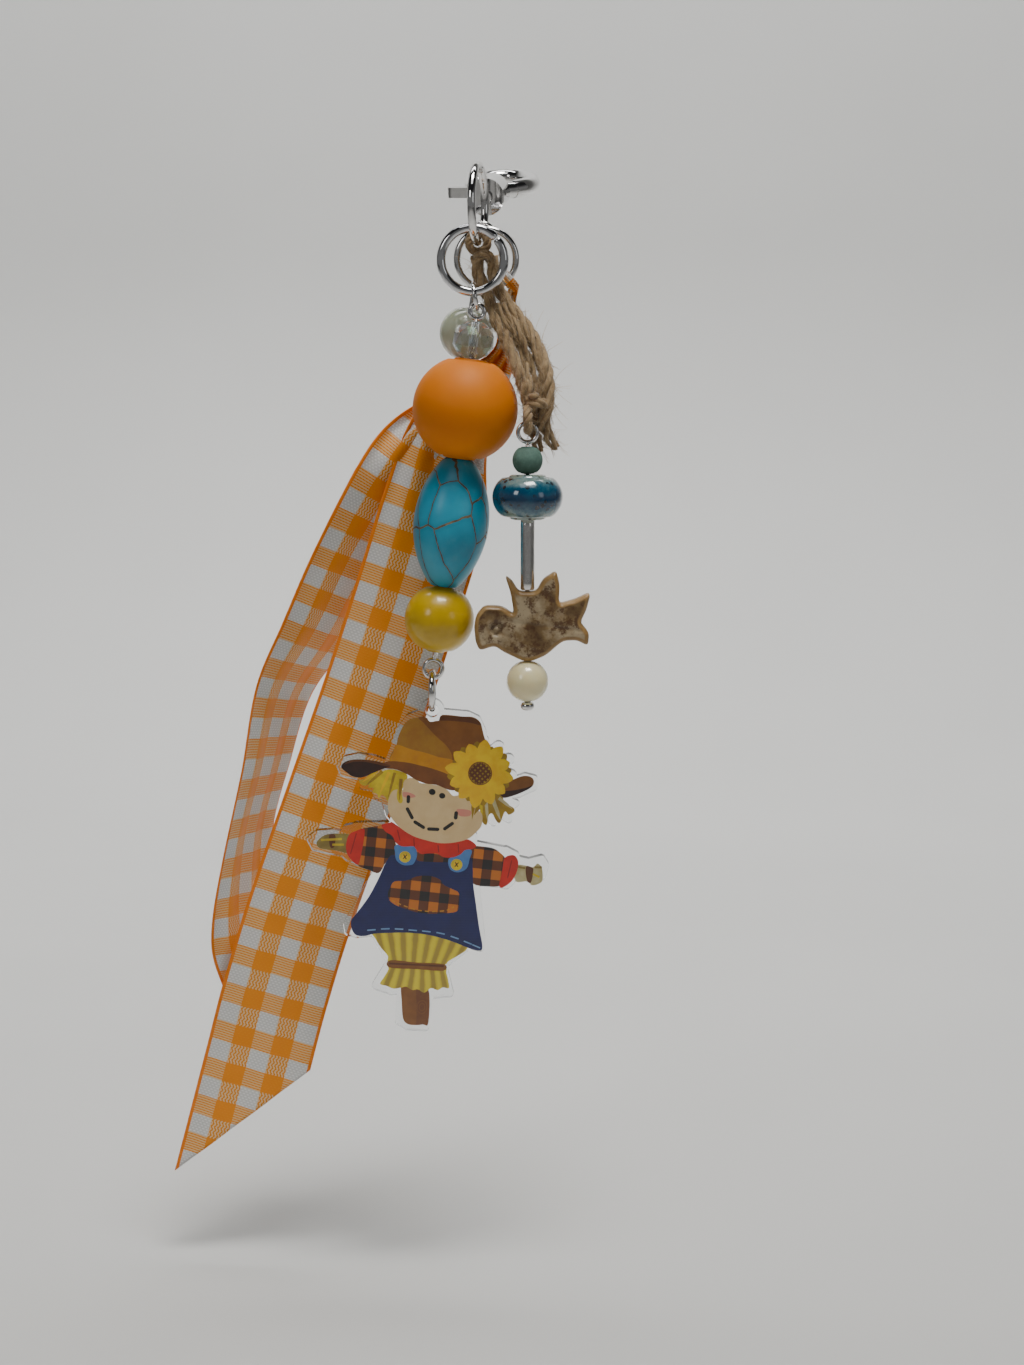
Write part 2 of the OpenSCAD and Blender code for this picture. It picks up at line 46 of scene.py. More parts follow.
def mm(x, y, z):
    """A point given in millimetres, in metres."""
    return Vector((x, y, z)) * MM


def down(degrees):
    """Straight down, swung to the right by an angle."""
    a = radians(degrees)
    return Vector((sin(a), 0, -cos(a)))


# ---- camera
camera = bpy.data.objects.new("camera", bpy.data.cameras.new("camera"))
bpy.context.collection.objects.link(camera)
camera.location = mm(1.8, -366.9, -22.9)
camera.rotation_euler = (radians(90 - 8.04), 0, 0)
camera.data.lens = 63.96
camera.data.sensor_width = 36
camera.data.clip_start = 0.01
bpy.context.scene.camera = camera

# ---- places, as in the CAD
TURN, TILT = radians(-9.5), radians(12)
CLASP = Matrix.Rotation(TURN, 4, "Z") @ Matrix.Rotation(TILT, 4, "X")
EYE_R = 5.35
EYE_AT = CLASP @ Vector((0, -18.5, 0))


def eye_wire(degrees):
    a = radians(degrees)
    return EYE_AT + EYE_R * Vector(
        (-sin(a) * sin(TURN), sin(a) * cos(TURN), -cos(a)))


LEAN = 7.2
BIG_AT = eye_wire(-24) + 3.0 * down(-8)
STRAND_RING_AT = BIG_AT + 4.45 * down(3) + 0.74 * down(10)
PIN_FROM = STRAND_RING_AT + 1.8 * down(10)
TOP_LOOP = PIN_FROM + 0.3 * down(-LEAN)
STRAND_UP = -down(-LEAN)
PALE_FROM, PALE_AT = eye_wire(45), Vector((-4.8, -12.6, -22))
RIBBON_RING_AT = eye_wire(26) + 2.9 * down(15)
RIBBON_LOOP = RIBBON_RING_AT + 4.2 * down(45)
PLATE_AT = TOP_LOOP + (51.35 + 1.3) * down(-LEAN) + (1.85 + 2.7 + 0.2) * down(0)
FIGURE_TILT = radians(6.5)


def leaf_at(z):
    """A point on the leaf dangle's upright pin."""
    return Vector((4.0, -23.5, z))


# ---- mesh helpers
def add_object(name, data, body=None):
    o = bpy.data.objects.new(name, data)
    bpy.context.collection.objects.link(o)
    if body:
        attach(o, body)
    return o


def mesh_of(name, verts, faces, smooth=True):
    me = bpy.data.meshes.new(name)
    me.from_pydata([tuple(v) for v in verts], [], faces)
    bm = bmesh.new()
    bm.from_mesh(me)
    bmesh.ops.recalc_face_normals(bm, faces=bm.faces)
    bm.to_mesh(me)
    bm.free()
    me.polygons.foreach_set("use_smooth", [smooth] * len(me.polygons))
    me.update()
    return me


def spline(points, per=8, closed=False):
    """Points of a smooth curve through the given ones."""
    p = [Vector(q) for q in points]
    n = len(p)
    out = []
    spans = n if closed else n - 1
    for i in range(spans):
        if closed:
            a, b, c, d = p[i - 1], p[i], p[(i + 1) % n], p[(i + 2) % n]
        else:
            a, b, c, d = p[max(i - 1, 0)], p[i], p[i + 1], p[min(i + 2, n - 1)]
        for k in range(per):
            t = k / per
            out.append(0.5 * (2 * b + (c - a) * t + (2 * a - 5 * b + 4 * c - d) * t * t
                              + (3 * b - a - 3 * c + d) * t ** 3))
    if not closed:
        out.append(p[-1])
    return out


def resample(points, step):
    """Points evenly spaced along a polyline."""
    lengths = [0]
    for a, b in zip(points, points[1:]):
        lengths.append(lengths[-1] + (b - a).length)
    count = max(2, round(lengths[-1] / step))
    out, i = [], 0
    for k in range(count + 1):
        s = lengths[-1] * k / count
        while i < len(points) - 2 and lengths[i + 1] < s:
            i += 1
        f = (s - lengths[i]) / max(lengths[i + 1] - lengths[i], 1e-12)
        out.append(points[i].lerp(points[i + 1], min(f, 1)))
    return out


def smooth_path(points, step, per=8):
    """Evenly spaced points on a smooth curve through the given ones."""
    return resample(spline(points, per), step)


def frames(path, closed=False):
    """(tangent, side, other side) along a path, turned as little as possible."""
    n = len(path)
    out, side = [], None
    for i in range(n):
        if closed:
            t = (path[(i + 1) % n] - path[i - 1]).normalized()
        else:
            t = (path[min(i + 1, n - 1)] - path[max(i - 1, 0)]).normalized()
        if side is None:
            side = Vector((0, 1, 0.013 if closed else 0.01)).cross(t).normalized()
        side = (side - t * side.dot(t)).normalized()
        out.append((t, side, t.cross(side)))
    return out


def grid(rows, cols, wrap_rows=False, wrap_cols=False):
    """Quads over rows of points. A wrapped direction closes on itself."""
    faces = []
    for i in range(rows if wrap_rows else rows - 1):
        for k in range(cols if wrap_cols else cols - 1):
            a, b = i * cols + k, i * cols + (k + 1) % cols
            c, d = (i + 1) % rows * cols + k, (i + 1) % rows * cols + (k + 1) % cols
            faces.append((a, b, d, c))
    return faces


def tube(path, radius, sides, closed=False):
    """(verts, faces) of a tube; radius is a number or one value per point."""
    n = len(path)
    verts = []
    for i, (_, u, v) in enumerate(frames(path, closed)):
        r = radius[i] if isinstance(radius, list) else radius
        for k in range(sides):
            a = TAU * k / sides
            verts.append(path[i] + r * (cos(a) * u + sin(a) * v))
    faces = grid(n, sides, closed, True)
    if not closed:
        faces.append(tuple(range(sides - 1, -1, -1)))
        faces.append(tuple((n - 1) * sides + k for k in range(sides)))
    return verts, faces


def join(parts):
    """One (verts, faces) from several."""
    verts, faces = [], []
    for v, f in parts:
        base = len(verts)
        verts += v
        faces += [tuple(i + base for i in face) for face in f]
    return verts, faces


def lathe(profile, segments):
    """(verts, faces) of a closed (radius, height) profile turned about +Z."""
    verts = []
    for k in range(segments):
        a = TAU * k / segments
        verts += [Vector((r * cos(a), r * sin(a), z)) for r, z in profile]
    return verts, [(a, c, d, b) for a, b, d, c in grid(segments, len(profile), True, True)]


def placed(shape, at, up=Vector((0, 0, 1))):
    """A shape turned from +Z to a direction, and moved."""
    verts, faces = shape
    m = Vector((0, 0, 1)).rotation_difference(up.normalized()).to_matrix()
    return [(m @ v) + at for v in verts], faces


def point_values(me, name, values):
    """Stores a number or a vector for each point of a mesh."""
    vector = isinstance(values[0], tuple)
    layer = me.attributes.new(name, "FLOAT_VECTOR" if vector else "FLOAT", "POINT")
    flat = [c for row in values for c in row] if vector else values
    layer.data.foreach_set("vector" if vector else "value", flat)


def piece(name, shape, body, material, replaces=(), smooth=True):
    """A piece from (verts, faces) in millimetres."""
    verts, faces = shape
    o = add_object(name, mesh_of(name, [v * MM for v in verts], faces, smooth), body)
    o.data.materials.append(material)
    if replaces:
        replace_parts(o, *replaces)
    return o


# ---- material helpers
class Nodes:
    """A short way to write a shader's node tree."""

    def __init__(self, name):
        self.material = bpy.data.materials.new(name)
        self.material.use_nodes = True
        self.tree = self.material.node_tree
        self.bsdf = self.tree.nodes["Principled BSDF"]
        self.out = self.tree.nodes["Material Output"]

    def add(self, kind, **values):
        n = self.tree.nodes.new("ShaderNode" + kind)
        for key, value in values.items():
            key = key.replace("_", " ")
            if key.startswith("p "):
                setattr(n, key[2:].replace(" ", "_"), value)
            elif key.startswith("i") and key[1:].isdigit():
                self.put(n.inputs[int(key[1:])], value)
            else:
                self.put(n.inputs[key], value)
        return n

    def put(self, socket, value):
        if isinstance(value, bpy.types.NodeSocket):
            self.tree.links.new(value, socket)
        elif isinstance(value, bpy.types.Node):
            self.tree.links.new(value.outputs[0], socket)
        else:
            if socket.type == "RGBA" and len(value) == 3:
                value = (*value, 1)
            socket.default_value = value

    def set(self, **values):
        for key, value in values.items():
            self.put(self.bsdf.inputs[key.replace("_", " ")], value)
        return self

    def math(self, operation, a, b=0.0, c=0.0):
        return self.add("Math", p_operation=operation, i0=a, i1=b, i2=c)

    def times(self, a, b):
        return self.math("MULTIPLY", a, b)

    def fit(self, a, scale, offset):
        return self.math("MULTIPLY_ADD", a, scale, offset)

    def parts(self, vector):
        """A vector's X, Y and Z."""
        return self.add("SeparateXYZ", Vector=vector).outputs

    def attribute(self, name):
        return self.add("Attribute", p_attribute_name=name).outputs

    def mix(self, factor, a, b):
        n = self.tree.nodes.new("ShaderNodeMix")
        n.data_type = "RGBA"
        self.put(n.inputs[0], factor)
        self.put(n.inputs[6], a)
        self.put(n.inputs[7], b)
        return n.outputs[2]

    def ramp(self, factor, *stops):
        n = self.tree.nodes.new("ShaderNodeValToRGB")
        self.put(n.inputs[0], factor)
        e = n.color_ramp.elements
        while len(e) < len(stops):
            e.new(0.5)
        for slot, (position, value) in zip(e, stops):
            slot.position = position
            slot.color = grey(value) if isinstance(value, (int, float)) else (*value[:3], 1)
        return n.outputs[0]

    def where(self):
        """Place on the piece, in metres."""
        return self.add("TexCoord").outputs["Object"]

    def noise(self, scale, detail=4.0, rough=0.5, at=None, distortion=0.0):
        n = self.add("TexNoise", Vector=at or self.where(), Scale=scale, Detail=detail,
                     Roughness=rough, Distortion=distortion)
        return n.outputs[0]

    def voronoi(self, scale, feature="F1", at=None, randomness=1.0):
        n = self.add("TexVoronoi", p_feature=feature, Vector=at or self.where(), Scale=scale,
                     Randomness=randomness)
        return n.outputs["Distance"]

    def bump(self, height, strength=0.3, distance=0.0002):
        return self.add("Bump", Strength=strength, Distance=distance, Height=height).outputs[0]


def grey(v):
    return (v, v, v, 1)


def metal(name, base, rough=0.05, haze=0.03):
    m = Nodes(name)
    patches = m.noise(900, 3)
    scratches = m.noise(2600, 6, 0.7)
    tone = m.ramp(patches, (0.3, tuple(0.86 * c for c in base)), (0.7, base))
    m.set(Base_Color=tone, Metallic=1.0,
          Roughness=m.fit(scratches, haze, rough),
          Normal=m.bump(m.noise(500, 2), 0.06, 0.0002))
    return m.material


SILVER = metal("silver_plate", (0.80, 0.79, 0.78))
RING_METAL = metal("ring_plate", (0.70, 0.70, 0.71), 0.04)
SPRING_METAL = metal("spring_wire", (0.50, 0.50, 0.52), 0.2)


def silicone():
    m = Nodes("orange_silicone")
    dust = m.noise(700, 8, 0.7)
    colour = m.mix(m.ramp(m.noise(90, 3), (0.35, 0), (0.7, 1)),
                   (0.66, 0.175, 0.0004), (0.74, 0.215, 0.0008))
    specks = m.ramp(m.voronoi(850), (0.0, 1), (0.055, 0))
    colour = m.mix(m.times(specks, 0.35), colour, (0.36, 0.09, 0.004))
    m.set(Base_Color=colour, Roughness=m.fit(dust, 0.15, 0.5), Subsurface_Weight=0.12,
          Subsurface_Radius=(0.9, 0.30, 0.02), Subsurface_Scale=0.002,
          Specular_IOR_Level=0.3, Normal=m.bump(dust, 0.12, 0.00008))
    return m.material


def turquoise():
    m = Nodes("dyed_turquoise")
    at = m.where()
    wobble = m.add("TexNoise", Vector=at, Scale=260.0, Detail=3.0).outputs[1]
    warp = m.add("VectorMath", p_operation="MULTIPLY_ADD", i0=wobble, i1=(0.0012,) * 3, i2=at)
    squeezed = m.add("Mapping", Vector=warp, Location=(0.013, 0.004, 0.007),
                     Scale=(1.0, 1.0, 0.62)).outputs[0]
    edge = m.voronoi(175.0, "DISTANCE_TO_EDGE", squeezed, 0.8)
    vein = m.math("LESS_THAN", edge, m.fit(m.noise(320, 3), 0.022, 0.003))
    halo = m.ramp(edge, (0.0, 1), (0.09, 0))
    body = m.ramp(m.noise(160, 4), (0.25, (0.008, 0.20, 0.32)), (0.6, (0.018, 0.32, 0.47)),
                  (0.85, (0.045, 0.42, 0.56)))
    cloud = m.times(m.ramp(m.noise(600, 6, 0.65), (0.52, 0), (0.75, 1)), 0.25)
    patches = m.mix(cloud, body, (0.07, 0.34, 0.42))
    colour = m.mix(m.times(halo, 0.35), patches, (0.01, 0.16, 0.25))
    brown = m.ramp(m.noise(900, 4), (0.4, (0.09, 0.06, 0.03)), (0.7, (0.25, 0.18, 0.09)))
    m.set(Base_Color=m.mix(vein, colour, brown), Roughness=m.mix(vein, grey(0.36), grey(0.75)),
          Coat_Weight=0.15, Coat_Roughness=0.3,
          Normal=m.bump(m.times(vein, -1.0), 0.5, 0.00012))
    return m.material


def yellow_glaze():
    m = Nodes("yellow_glaze")
    colour = m.mix(m.ramp(m.noise(140, 5, 0.6), (0.35, 0), (0.68, 1)),
                   (0.66, 0.43, 0.0005), (0.50, 0.31, 0.0005))
    dots = m.ramp(m.voronoi(800), (0.0, 1), (0.09, 0))
    here = m.ramp(m.noise(400), (0.45, 0), (0.6, 0.8))
    colour = m.mix(m.times(dots, here), colour, (0.08, 0.045, 0.004))
    m.set(Base_Color=colour, Roughness=0.3, Coat_Weight=0.7, Coat_Roughness=0.05,
          Coat_IOR=1.35, Normal=m.bump(m.noise(420, 2), 0.08, 0.0003))
    return m.material


def rondelle_glaze():
    m = Nodes("teal_glaze")
    # deep blue round the belly, pale where the glaze runs thin near the holes
    belly = m.math("ABSOLUTE", m.fit(m.parts(m.where())[2], 1000.0, 44.9))
    level = m.math("ADD", belly, m.fit(m.noise(520, 7, 0.7), 4.4, -2.3))
    colour = m.ramp(m.times(level, 0.31), (0.0, (0.003, 0.035, 0.085)),
                    (0.35, (0.006, 0.07, 0.13)), (0.55, (0.04, 0.13, 0.17)),
                    (0.78, (0.17, 0.25, 0.24)), (1.0, (0.20, 0.24, 0.18)))
    dots = m.ramp(m.voronoi(1000), (0.0, 1), (0.3, 1), (0.36, 0))
    here = m.ramp(m.noise(300), (0.47, 0), (0.53, 0.9))
    colour = m.mix(m.times(dots, here), colour, (0.006, 0.012, 0.02))
    m.set(Base_Color=colour, Roughness=0.14, Coat_Weight=1.0, Coat_Roughness=0.03,
          Normal=m.bump(m.noise(500, 3), 0.12, 0.0003))
    return m.material


def matt_clay():
    m = Nodes("sage_clay")
    colour = m.ramp(m.noise(900, 6, 0.7), (0.3, (0.065, 0.13, 0.10)), (0.6, (0.105, 0.20, 0.16)),
                    (0.8, (0.19, 0.30, 0.25)))
    m.set(Base_Color=colour, Roughness=0.8, Normal=m.bump(m.noise(2200, 6, 0.7), 0.4, 0.0001))
    return m.material


def pearl(name, base, deep, transmission=0.0):
    m = Nodes(name)
    clouds = m.ramp(m.noise(120, 4, distortion=0.6), (0.3, 0), (0.75, 1))
    m.set(Base_Color=m.mix(clouds, base, deep), Roughness=0.18, Subsurface_Weight=0.45,
          Subsurface_Radius=(1.0, 0.9, 0.6), Subsurface_Scale=0.0025, Coat_Weight=0.8,
          Coat_Roughness=0.05, Transmission_Weight=transmission,
          Normal=m.bump(m.noise(300, 2), 0.05, 0.0003))
    return m.material


def crystal():
    m = Nodes("coated_crystal")
    tint = m.ramp(m.noise(330, 2), (0.3, (0.92, 0.86, 0.98)), (0.45, (0.80, 0.93, 0.98)),
                  (0.6, (0.98, 0.93, 0.78)), (0.75, (0.98, 0.82, 0.80)))
    m.set(Base_Color=tint, Roughness=0.02, Transmission_Weight=0.93, IOR=1.52,
          Thin_Film_Thickness=420.0, Thin_Film_IOR=1.7,
          Normal=m.bump(m.noise(200, 1), 0.02, 0.0001))
    return m.material


def acrylic():
    m = Nodes("clear_acrylic")
    scuff = m.noise(1500, 7, 0.75)
    m.set(Base_Color=(0.97, 0.98, 0.98), Transmission_Weight=1.0, IOR=1.49,
          Roughness=m.fit(scuff, 0.05, 0.01),
          Normal=m.bump(m.noise(120, 2), 0.05, 0.0002))
    return m.material


def jute(name, light, dark, seed=0.0):
    m = Nodes(name)
    at = m.add("Mapping", Vector=m.where(), Location=(seed, seed * 0.7, 0)).outputs[0]
    streaks = m.noise(1500, 7, 0.75, at)
    broad = m.noise(260, 3, 0.5, at)
    colour = m.mix(m.ramp(streaks, (0.32, 0), (0.68, 1)), dark, light)
    colour = m.mix(m.ramp(broad, (0.35, 0), (0.75, 0.6)), colour,
                   (0.56, 0.41, 0.23))
    m.set(Base_Color=colour, Roughness=0.85, Sheen_Weight=0.4, Sheen_Roughness=0.4,
          Normal=m.bump(streaks, 0.9, 0.0002))
    return m.material


# ---- twine
JUTE = jute("jute_twine", (0.42, 0.28, 0.135), (0.09, 0.045, 0.015))
JUTE_PALE = jute("jute_fibres", (0.62, 0.46, 0.26), (0.26, 0.15, 0.06), 0.3)
TWINE_R = 0.95
ROUTE_A = [(-3.2, -18, -11.2), (-2.95, -17.9, -13.6), (-2.1, -17.7, -15.8), (-1.2, -18.1, -18),
           (-0.4, -18.9, -20.2), (0.8, -19.9, -22.6), (1.9, -20.9, -25.2), (2.8, -21.8, -27.6),
           (3.5, -22.3, -29.8), (4.2, -22.1, -32), (4.7, -21.2, -34.2), (4.9, -20.2, -36.2),
           (5.8, -18.9, -38.5)]
ROUTE_B = [(-1, -18, -11.2), (-0.8, -18.1, -13.6), (-0.1, -18.1, -15.8), (1.2, -18.3, -17.8),
           (2.8, -18.9, -19.7), (4.3, -19.9, -21.8), (5.7, -20.9, -24.4), (6.6, -21.7, -27),
           (6.95, -22.4, -29.6), (6.8, -22.7, -32.2), (6.3, -22.4, -34.4), (6.9, -21.6, -36.4),
           (8, -20.9, -38.2)]


def plies(path, radius, count, pitch, seed, taper=0.0):
    """Yarns twisted round a path, each a little uneven."""
    rng = random.Random(seed)
    fr = frames(path)
    sides = 10
    parts = []
    for p in range(count):
        start = TAU * p / count + rng.uniform(-0.2, 0.2)
        run, line, radii = 0.0, [], []
        for i, (_, u, v) in enumerate(fr):
            if i:
                run += (path[i] - path[i - 1]).length
            a = start + TAU * run / pitch + 0.3 * sin(run * 0.9 + p)
            f = i / (len(path) - 1)
            thin = 1 - taper * max(0, (f - 0.85) / 0.15)
            off = radius * 0.50 * (1 + 0.10 * sin(run * 1.7 + 2 * p))
            line.append(path[i] + off * (cos(a) * u + sin(a) * v))
            uneven = 1 + 0.13 * noise.noise(Vector((run * 1.3, p * 7.0, seed)))
            radii.append(radius * 0.50 * thin * uneven)
        verts, faces = tube(line, radii, sides)
        # lengthwise grooves between the fibres
        for k, vert in enumerate(verts):
            i, q = divmod(k, sides)
            groove = 1 + 0.10 * noise.noise(Vector((q * 2.1, i * 0.35, seed + p)))
            verts[k] = line[i] + (vert - line[i]) * groove
        parts.append((verts, faces))
    return join(parts)


def fibres(path, radius, count, seed, reach=(0.4, 1.6), width=0.035, along=2.4):
    """Fine stray hairs that lie along a path and stand off it."""
    rng = random.Random(seed)
    fr = frames(path)
    parts = []
    for _ in range(count):
        i = rng.randrange(2, len(path) - 2)
        t, u, v = fr[i]
        a = rng.uniform(0, TAU)
        out = cos(a) * u + sin(a) * v
        swirl = t.cross(out)
        sign = rng.choice((-1, 1))
        far, run = rng.uniform(*reach), rng.uniform(0.5, along)
        bend = rng.uniform(-0.8, 0.8)
        p0 = path[i] + out * radius * 0.85
        shares = [k / 5 for k in range(6)]
        line = [p0 + sign * t * run * f * (1 - 0.25 * f) + out * far * f ** 1.6
                + swirl * bend * sin(f * 2.2) * 0.6 * far for f in shares]
        parts.append(tube(line, [width * (1 - 0.6 * k / 5) for k in range(6)], 4))
    return join(parts)


def flyaway(name, shape):
    return piece(name, shape, "twine", JUTE_PALE)


def knot_and_hitch():
    """The overhand knot above the leaf dangle, its loop, and the wrap under the eye."""
    knot = Vector((5.4, -22.6, -31.8))
    loop_at = Vector((4, -23.5, -34.0))
    coil = []
    for i in range(90):
        a = TAU * 1.75 * i / 89
        coil.append(knot + Vector((1.05 * cos(a), 1.15 * sin(a),
                                   1.25 * (i / 89 - 0.5) * 1.9 + 0.25 * sin(a * 1.7))))
    ring = [loop_at + Vector((0, 1.5 * sin(a), 1.5 * cos(a)))
            for a in [TAU * i / 72 for i in range(73)]]
    shape = join([plies(coil, 0.8, 3, 4.2, 11), plies(ring, 0.68, 3, 3.1, 12)])
    piece("twine_knot_and_loop", shape, "twine", JUTE, ("twine_knot",))
    turn = Matrix.Rotation(TURN, 3, "Z")
    wrap = []
    for i in range(150):
        a = TAU * 2.0 * i / 149
        wrap.append(eye_wire(0) + turn @ Vector(
            (1.36 * sin(a), 0.45 * (i / 149 - 0.5), -1.36 * cos(a))))
    hitch = smooth_path([(-3.1, -18, -12.4), (-3.25, -18.6, -11.5), (-2.4, -19.0, -11.0),
                         (-1.3, -18.7, -11.2), (-1.0, -18, -12.2)], 0.2)
    back = smooth_path([(-3.2, -17.7, -12.2), (-2.8, -17.0, -11.3), (-1.8, -16.95, -11.2),
                        (-1.1, -17.6, -12.1)], 0.2)
    shape = join([plies(wrap, 0.62, 3, 3.4, 13), plies(hitch, 0.72, 3, 3.8, 14),
                  plies(back, 0.6, 3, 3.8, 15)])
    piece("twine_hitch", shape, "twine", JUTE, ("twine_wrap",))
    flyaway("hitch_fibres", join([fibres(coil, 0.85, 80, 21, (0.2, 0.9)),
                                  fibres(ring, 0.65, 40, 22),
                                  fibres(hitch, 0.7, 40, 23, (0.1, 0.4))]))


knot_and_hitch()
for letter, route, seed in (("a", ROUTE_A, 5), ("b", ROUTE_B, 6)):
    path = smooth_path(route, 0.25)
    shape = plies(path, TWINE_R, 3, 7.5, seed, taper=0.35)
    strand = piece("twine_strand_" + letter + "_yarn", shape, "twine", JUTE,
                   ("twine_strand_" + letter,))
    hairs = flyaway("strand_" + letter + "_fibres", join([
        fibres(path, TWINE_R, 420, seed + 30, (0.15, 1.1)),
        fibres(path, TWINE_R, 50, seed + 60, (1.2, 3.2), 0.03, 4)]))


def loose_yarns():
    """Thin yarns that have come untwisted between the two strands."""
    rng = random.Random(77)
    shapes, hairs = [], []
    for k, share in enumerate((0.12, 0.3, 0.45, 0.6, 0.75, 0.9)):
        phase = rng.uniform(0, TAU)
        line = [Vector(a) * (1 - share) + Vector(b) * share
                + Vector((0.25 * sin(1.1 * i + phase), 0.7 * sin(0.9 * i + 2 * phase), 0))
                for i, (a, b) in enumerate(zip(ROUTE_A, ROUTE_B)) if 3 <= i <= 10]
        path = smooth_path(line, 0.3)
        shapes.append(plies(path, rng.uniform(0.42, 0.6), 2, 6.5, 80 + k, taper=0.2))
        hairs.append(fibres(path, 0.5, 90, 90 + k, (0.2, 1.2)))
    piece("twine_loose_yarns", join(shapes), "twine", JUTE)
    flyaway("loose_yarn_fibres", join(hairs))


loose_yarns()


# ---- leaf clay
def leaf_clay():
    m = Nodes("leaf_stoneware")
    at = m.where()
    grain, patch = m.noise(700, 8, 0.75, at), m.noise(240, 4, 0.6, at)
    face = m.ramp(patch, (0.3, (0.07, 0.033, 0.009)), (0.45, (0.20, 0.125, 0.05)),
                  (0.6, (0.42, 0.33, 0.20)))
    face = m.mix(m.ramp(grain, (0.50, 0), (0.58, 0.9)), face, (0.085, 0.036, 0.011))
    rim = m.ramp(grain, (0.35, (0.24, 0.13, 0.035)), (0.65, (0.38, 0.23, 0.08)))
    near_edge = m.math("ADD", m.attribute("rim")["Fac"], m.fit(patch, 0.4, -0.2))
    colour = m.mix(m.ramp(near_edge, (0.42, 0), (0.62, 1)), face, rim)
    m.set(Base_Color=colour, Roughness=m.fit(patch, 0.25, 0.3),
          Coat_Weight=0.25, Coat_Roughness=0.25, Normal=m.bump(grain, 0.35, 0.00025))
    return m.material


# ---- ribbon cloth
ORANGE = (0.92, 0.31, 0.001)
SELVEDGE = (0.90, 0.22, 0.001)
WHITE = (0.92, 0.92, 0.90)
STRIPE = 3.02     # one check, in millimetres
EDGE = 0.5        # the selvedge
ROW = 0.37        # one crossing thread
RIBBON_W = 16.1
FRONT_LEFT, FRONT_RIGHT, BACK_LENGTH, GATHER_LENGTH = 136.5, 115.5, 101, 14


def gingham():
    m = Nodes("gingham_ribbon")
    u, v = m.parts(m.attribute("cloth")["Vector"])[:2]

    def stripe(value, offset):
        """1 in an orange stripe, 0 in a white one."""
        turn = m.fit(value, 1 / (2 * STRIPE), offset)
        return m.math("GREATER_THAN", m.math("FRACT", turn), 0.5)

    def threads(value, pitch, phase=0.0):
        return m.fit(m.math("SINE", m.fit(value, TAU / pitch, phase)), 0.5, 0.5)

    warp = stripe(u, -EDGE / (2 * STRIPE))
    weft = stripe(v, 0.0)
    fine_v = threads(v, ROW)
    # offsets the crossing threads row by row, so that they read as a plain weave
    row = m.times(m.math("ROUND", m.times(v, 1 / ROW)), pi)
    alternate = threads(u, 0.62, row)
    wavy = threads(m.fit(m.math("SINE", m.times(v, TAU / 0.9)), 0.12, u), 0.5)
    # light marks the thread crowns: solid and plain paint the crowns lighter as a painted highlight
    # and the gaps between threads darker as painted shade
    light = m.times(fine_v, alternate)
    solid = m.mix(m.ramp(light, (0.35, 0), (0.8, 0.75)), ORANGE, (0.94, 0.36, 0.004))
    rows = m.math("ADD", fine_v, m.times(alternate, 0.35))
    across = m.mix(m.ramp(rows, (0.42, 0), (0.75, 1)),
                   (0.88, 0.30, 0.003), (0.90, 0.60, 0.27))
    waves = m.times(wavy, m.fit(fine_v, 0.6, 0.7))
    lengthways = m.mix(m.ramp(waves, (0.36, 0), (0.72, 1)),
                       (0.84, 0.31, 0.006), (0.90, 0.66, 0.36))
    plain = m.mix(m.ramp(light, (0.1, 0), (0.7, 1)), (0.70, 0.70, 0.68), WHITE)
    colour = m.mix(warp, m.mix(weft, plain, across), m.mix(weft, lengthways, solid))
    from_middle = m.math("ABSOLUTE", m.math("SUBTRACT", u, RIBBON_W / 2))
    selvedge = m.math("LESS_THAN", m.math("SUBTRACT", RIBBON_W / 2, from_middle), EDGE)
    # the selvedge threads likewise get a painted highlight on their crowns and painted shade
    # between the rows
    colour = m.mix(selvedge, colour, m.mix(fine_v, SELVEDGE, (0.92, 0.27, 0.002)))
    height = m.math("ADD", m.times(fine_v, 0.6), m.times(alternate, 0.4))
    height = m.math("MAXIMUM", height, m.times(selvedge, 1.2))
    m.set(Base_Color=colour, Roughness=0.5, Sheen_Weight=0.08, Sheen_Roughness=0.35,
          Normal=m.bump(height, 0.45, 0.00009))
    # cloth lets some of the light from behind through
    glow = m.add("BsdfTranslucent", Color=colour)
    mixed = m.add("MixShader", Fac=0.2, i1=m.bsdf, i2=glow)
    m.put(m.out.inputs[0], mixed)
    return m.material


GINGHAM = gingham()


def between(table, s):
    """Smooth value, at a distance s, of a table of (distance, value) rows; values are tuples."""
    n = len(table)
    i = max(k for k in range(n) if table[k][0] <= s or k == 0)
    i = min(i, n - 2)
    s0, s1 = table[i][0], table[i + 1][0]
    t = (s - s0) / (s1 - s0)
    pts = [Vector(table[max(i - 1, 0)][1]), Vector(table[i][1]), Vector(table[i + 1][1]),
           Vector(table[min(i + 2, n - 1)][1])]
    before = table[max(i - 1, 0)][0]
    after = table[min(i + 2, n - 1)][0]
    m0 = (pts[2] - pts[0]) / max(s1 - before, 1e-9) * (s1 - s0)
    m1 = (pts[3] - pts[1]) / max(after - s0, 1e-9) * (s1 - s0)
    if t > 1:
        return pts[2] + (t - 1) * m1
    t2, t3 = t * t, t * t * t
    return ((2 * t3 - 3 * t2 + 1) * pts[1] + (t3 - 2 * t2 + t) * m0
            + (3 * t2 - 2 * t3) * pts[2] + (t3 - t2) * m1)


def ribbon_piece(name, node, verts, cloth, rows, thick, offset):
    """Rows of points made a piece of ribbon, which carries each point's place on the flat cloth."""
    faces = grid(rows, len(verts) // rows)
    o = piece(name, (verts, faces), "ribbon", GINGHAM, (node,))
    point_values(o.data, "cloth", cloth)
    solid = o.modifiers.new("cloth_thickness", "SOLIDIFY")
    solid.thickness, solid.offset = thick * MM, offset
    return o


